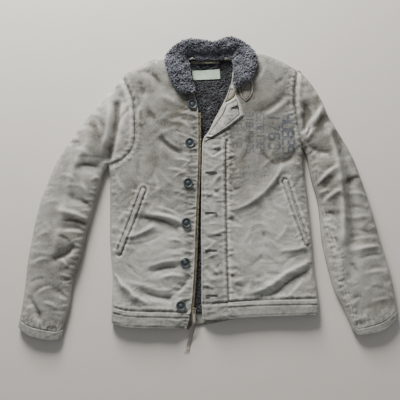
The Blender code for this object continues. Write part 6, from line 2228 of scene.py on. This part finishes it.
def all_stitches(corner_height: Callable[[Array, Array], Array]) -> list[Piece]:
    """Every stitched seam that shows, in rows on the cloth that carries it.

    Args:
        corner_height: height of the turned corner at plan points.
    Returns:
        The finished pieces of thread.
    """
    placket = [(64.5, -262), (62.5, -150), (59.5, 0), (59.5, 120), (64, 140)]
    edge = [(x + 3.4, y) for x, y in LEFT.edge if y < 150]
    rows = [
        StitchRow(placket, lambda x, y: body_top(x, y) + 2.5),
        StitchRow(edge, lambda x, y: body_top(x, y) + 2.3),
        StitchRow(shifted(placket, 5.0, 0), body_top),
        StitchRow(shifted([p for p in RIGHT.edge if p[1] < 250], -4.5, 0), body_top),
    ]
    for lines, first, last in ((RIGHT, 0.03, 0.97), (LEFT, 0.03, 0.76)):
        hem = smooth_curve(lines.hem, np.linspace(first, last, 30))
        for up in (4.0, 31.5, 35.0):
            rows.append(StitchRow(shifted(hem, 0, up), lambda x, y: body_top(x, y) + 1.9))
        way = 1 if lines is RIGHT else -1
        rows.append(StitchRow(beside(lines.armhole, -4.5 * way), body_top))
        rows.append(StitchRow(beside(lines.armhole, 4.5 * way), sleeve_top))
        rows.append(StitchRow(cuff_line(lines, 30, 0.18), lambda x, y: sleeve_top(x, y) + 0.8))
        rows.append(StitchRow(cuff_line(lines, 30, 0.85), lambda x, y: sleeve_top(x, y) + 0.5))
        rows.append(StitchRow(cuff_line(lines, 30, -0.18), sleeve_top))
    rows += [StitchRow(beside(SLEEVE_SEAM, offset), sleeve_top) for offset in (2.4, -2.4)]
    for x0, y0, x1, y1, bulge in POCKETS.values():
        welt = Welt("", "", (x0, y0, x1, y1, bulge))
        for across, lift in ((-0.36, 2.9), (0.36, 2.9), (0.95, 0.2), (-0.95, 0.2)):
            rows.append(StitchRow(welt.plan(np.array([across]), np.linspace(0, 1, 40))[0],
                                  lambda x, y, up=lift: body_top(x, y) + up))
        run = np.array([x1 - x0, y1 - y0]) / math.hypot(x1 - x0, y1 - y0)
        side = np.array([-run[1], run[0]])
        for step in (0.0, 1.2, 2.4, 3.6):
            middle = np.array([x1, y1]) + run * step
            rows.append(StitchRow([middle - side * 8, middle + side * 8], body_top, 0.4, 2.2))
    rib = [(-204, -150), (-196, -176), (-190, -204)]
    rows += [StitchRow(rib, body_top), StitchRow(shifted(rib, 6, 1), body_top)]
    pale = stitch_rows("seam_stitches", rows, STITCHES)
    corner = []
    for r0, r1, c0, c1 in ((0.5, 4.9, 0.9, 0.9), (0.4, 3.9, 0.12, 0.12)):
        r, c = np.linspace(r0, r1, 30), np.linspace(c0, c1, 30)
        corner.append(StitchRow(ruled(CORNER, c, r), corner_height))
    for r0 in (3.9, 5.35, 5.6):
        c = np.linspace(0.1, 0.9, 30)
        corner.append(StitchRow(ruled(CORNER, c, r0 + 0.45 * c * (r0 < 5)), corner_height))
    latch = [(96.5, 288), (96.5, 272), (99.5, 257), (105, 247.5), (110, 242), (116, 247.5), (122.5, 258),
             (125.3, 274), (120.8, 289)]
    top = NodeRelief("throat_latch")
    corner.append(StitchRow(latch, lambda x, y: np.maximum(top.read(x, y), body_top(x, y) + 3.4), 0.5, 3.6))
    return [pale, stitch_rows("corner_stitches", corner, STITCHES, 0.42)]


def build_label() -> Piece:
    """Bare woven label on the neck lining, softly curled at its corners."""
    u, v = np.meshgrid(np.linspace(0, 1, 40), np.linspace(0, 1, 18), indexing="ij")
    low = np.array([(-17, 296), (16, 297.5), (50, 299)], float)
    high = np.array([(-19, 319), (15, 321), (48, 323)], float)
    plan = ruled(np.concatenate([low, high], axis=1), v, 2 * u)
    x, y = plan[..., 0], plan[..., 1]
    base = CLOTH + SEAM_GAP + 3.4 + SEAM_GAP + 0.9 + 0.7 * np.abs(2 * u - 1) ** 3
    base = base + 0.35 * soft_noise(x, y, 12, 131)
    grid = with_height(plan, base + 0.8)
    wear_and_shade = np.clip(0.6 + 0.3 * soft_noise(x, y, 10, 132) - 0.35 * (edge_share(plan.shape[:2]) < 0.07), 0, 1)
    piece = make_shell("label", grid, with_height(plan, base), wear_and_shade, LABEL_CLOTH, "label_cloth", ["label"])
    return piece


def build_hanger_loop() -> Piece:
    """Narrow doubled strip across the inside of the neck, arched off the lining."""
    t, u = np.meshgrid(np.linspace(0, 1, 60), np.linspace(-0.5, 0.5, 8), indexing="ij")
    twist = 0.5 * np.sin(2.2 * math.pi * t)
    x = -22 + 69 * t
    y = 341 + 6 * u * np.cos(twist) - 2.0 * np.sin(math.pi * t)
    z = CLOTH + SEAM_GAP + 4.2 + 4.4 * np.sin(math.pi * t) ** 0.7 + 3 * u * np.sin(twist)
    base = np.stack([x, y, z], axis=-1)
    top = raised(base, 1.4 * rounded(2 * u, 4) + 0.4)
    wear_and_shade = np.clip(0.5 + 0.4 * soft_noise(x, y * 3, 7, 141), 0, 1)
    piece = make_shell("hanger_loop", top, base, wear_and_shade, LOOP_CLOTH, "loop_cloth", ["hanger_loop"])
    return piece


@dataclass
class Thong:
    """Flat hide strip tied to the pull tab, frayed at its free end."""

    width: float = 7.0
    thickness: float = 1.6

    def build(self) -> list[Piece]:
        """The strip follows the middle of its solid; short strips fan out at its end."""
        points = np.unique(np.round(NodeRelief("pull_thong").points, 3), axis=0)
        order = np.argsort(-points[:, 1])
        points = points[order]
        stations = points[: len(points) // 4 * 4].reshape(-1, 4, 3).mean(axis=1)
        line = smooth_curve([tuple(p) for p in stations[::3]] + [tuple(stations[-1])], 90)
        run = unit(np.gradient(line, axis=0))
        across = unit(np.cross(run, [0.0, 0.0, 1.0]))
        up = np.cross(across, run)
        t = np.linspace(0, 1, 90)[:, None, None]
        u = np.linspace(-0.5, 0.5, 9)[None, :, None]
        wide = self.width * (1 - 0.35 * bell(t, 0.12) + 0.1 * np.sin(9 * t))
        crown = 0.25 * np.cos(2 * math.pi * u * 1.2)
        middle = line[:, None] + u * wide * across[:, None]
        half = self.thickness / 2
        top = middle + (half + crown * 0.4) * up[:, None]
        low = middle - half * up[:, None]
        top[..., 2] = np.maximum(top[..., 2], 0.5)
        low[..., 2] = np.maximum(low[..., 2], 0.05)
        wear_and_shade = np.broadcast_to(ease((t[..., 0] - 0.8) / 0.2) * 0.8, top.shape[:2]).copy()
        strip = make_shell("thong_strip", top, low, wear_and_shade, Hide(), "thong_leather", ["pull_thong"],
                           body=PULL, inside=0.2)
        rng = np.random.default_rng(151)
        n = 9
        start = line[-3] + across[-3] * np.linspace(-0.45, 0.45, n)[:, None] * self.width
        way = run[-3] + across[-3] * np.linspace(-0.5, 0.5, n)[:, None] + rng.normal(0, 0.12, (n, 3))
        way[:, 2] = 0
        s = np.linspace(0, 1, 8)[None, :, None]
        hair = start[:, None] + way[:, None] * s * rng.uniform(5, 10, (n, 1, 1))
        hair[..., 2] = np.maximum(1.0 + 0.6 * rng.random((n, 1)) * np.sin(s[..., 0] * 3), 0.7)
        phi = np.arange(4) * math.pi / 2
        ring = 0.5 * (1 - 0.6 * s[..., None]) * (
            np.cos(phi)[None, None, :, None] * across[-3]
            + np.sin(phi)[None, None, :, None] * np.array([0, 0, 1.0]))
        tube = (hair[:, :, None] + ring).reshape(n, -1, 3)
        faces = copied(outward(tube[0], square_tube(8)), n, 32)
        fray = Piece("thong_fray", tube.reshape(-1, 3), faces, PULL)
        fray.attribute("wear_and_shade", np.full(n * 32, 1.0)).unwrap(tube.reshape(-1, 3)[:, :2] * MM)
        fray.finish(dressed(Hide()), "thong_leather")
        return [strip, fray]


# Floor, light and camera

@dataclass(frozen=True)
class Studio:
    """Plain pale floor, one large soft light from the collar's side, and the camera above."""

    tilt: float = 5.4
    lens: float = 45.0
    eye: tuple[float, float, float] = (-0.0215, -0.1357, 1.2076)

    def floor(self) -> None:
        """A matt floor just under the jacket."""
        mesh = bpy.data.meshes.new("floor")
        mesh.from_pydata([(-4, -4, -0.0004), (4, -4, -0.0004), (4, 4, -0.0004), (-4, 4, -0.0004)], [],
                         [(0, 1, 2, 3)])
        floor = bpy.data.objects.new("floor", mesh)
        bpy.context.scene.collection.objects.link(floor)
        g = Graph("floor_matt")
        grain = g.noise(g.object_place(), 30.0, 3.0)
        mesh.materials.append(g.surface(g.mix(grain * 0.3, srgb(214, 209, 200), srgb(206, 200, 190)), 0.7,
                                        specular=0.2))

    def area(self, name: str, place: Row, aim: Row, size: float, power: float,
             colour: tuple[float, float, float]) -> None:
        """A square soft light at a place, pointing at aim.

        Args:
            name: the lamp; place, aim: where it is and looks; size: in metres; power: in watts; colour: red,
            green and blue.
        """
        data = bpy.data.lights.new(name, "AREA")
        data.shape, data.size, data.energy, data.color = "SQUARE", size, power, colour
        lamp = bpy.data.objects.new(name, data)
        lamp.location = place
        way = np.subtract(aim, place)
        yaw = math.atan2(way[1], way[0]) - math.pi / 2
        pitch = math.atan2(math.hypot(way[0], way[1]), -way[2])
        lamp.rotation_euler = (pitch, 0.0, yaw)
        bpy.context.scene.collection.objects.link(lamp)

    def lights(self) -> None:
        """A broad window-like light from +Y, a weak fill and an even sky."""
        self.area("window", (-0.55, 1.9, 0.9), (0.0, -0.1, 0.0), 0.9, 118.0, (1.0, 0.99, 0.97))
        self.area("fill", (0.9, -1.4, 1.6), (0.0, 0.0, 0.0), 2.2, 2.0, (1.0, 0.99, 0.98))
        world = bpy.data.worlds.new("soft_sky")
        bpy.context.scene.world = world
        world.use_nodes = True
        sky = world.node_tree.nodes["Background"]
        sky.inputs["Color"].default_value = (0.93, 0.96, 1.0, 1)
        sky.inputs["Strength"].default_value = 0.26

    def camera(self) -> None:
        """The photograph's view: nearly straight down, tilted a little toward the collar."""
        data = bpy.data.cameras.new("view")
        data.lens, data.sensor_width = self.lens, 36.0
        data.clip_start, data.clip_end = 0.05, 20.0
        cam = bpy.data.objects.new("view", data)
        cam.location = self.eye
        cam.rotation_euler = (math.radians(self.tilt), 0.0, 0.0)
        bpy.context.scene.collection.objects.link(cam)
        bpy.context.scene.camera = cam

    def build(self) -> None:
        """Floor, lights and camera."""
        self.floor()
        self.lights()
        self.camera()


def dress_metal() -> None:
    """Give the slider and the tab, which keep their solids, their worn metal."""
    for node, finish in (("zip_slider", BRASS), ("pull_tab", TAB_STEEL)):
        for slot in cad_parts[node].material_slots:
            slot.material = dressed(finish)


def main() -> None:
    """Build every class in order; each piece logs its triangle count."""
    logging.basicConfig(level=logging.INFO, format="%(message)s")
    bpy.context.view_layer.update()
    Studio().build()
    back = Back()
    back.build_panel()
    back.build_lining()
    back.build_hem_facing()
    right = FrontPanel("right_front", RIGHT)
    left = FrontPanel("left_front", LEFT)
    for front in (right, left):
        front.shape()
        front.build()
    for side, lines in (("right", RIGHT), ("left", LEFT)):
        SleeveHalf(f"{side}_sleeve_under", lines, True, 36, 16, 60).build()
        SleeveHalf(f"{side}_sleeve_top", lines, False).build()
        CuffBand(f"{side}_cuff_band", lines).build()
    Placket(left).build()
    HemBand("right_hem_band", right, 0.998).build()
    HemBand("left_hem_band", left, PLACKET_FROM).build()
    for side, pocket in POCKETS.items():
        Welt(f"{side}_welt", f"{side}_front", pocket).build()
    TurnedCorner().build()
    flap = NodeRelief("corner_flap")

    def corner_height(x: Array, y: Array) -> Array:
        """Height of the turned corner's flap."""
        return flap.read(x, y) + 1.0

    build_latch()
    Collar().build()
    build_label()
    build_hanger_loop()
    ZipSide().build()
    for name in ("button_throat", "button_1", "button_2", "button_3", "button_4", "button_5"):
        Button(name).build()
    ButtonholeRings(left).build(corner_height)
    all_stitches(corner_height)
    Thong().build()
    dress_metal()


if __name__ == "__main__":
    main()
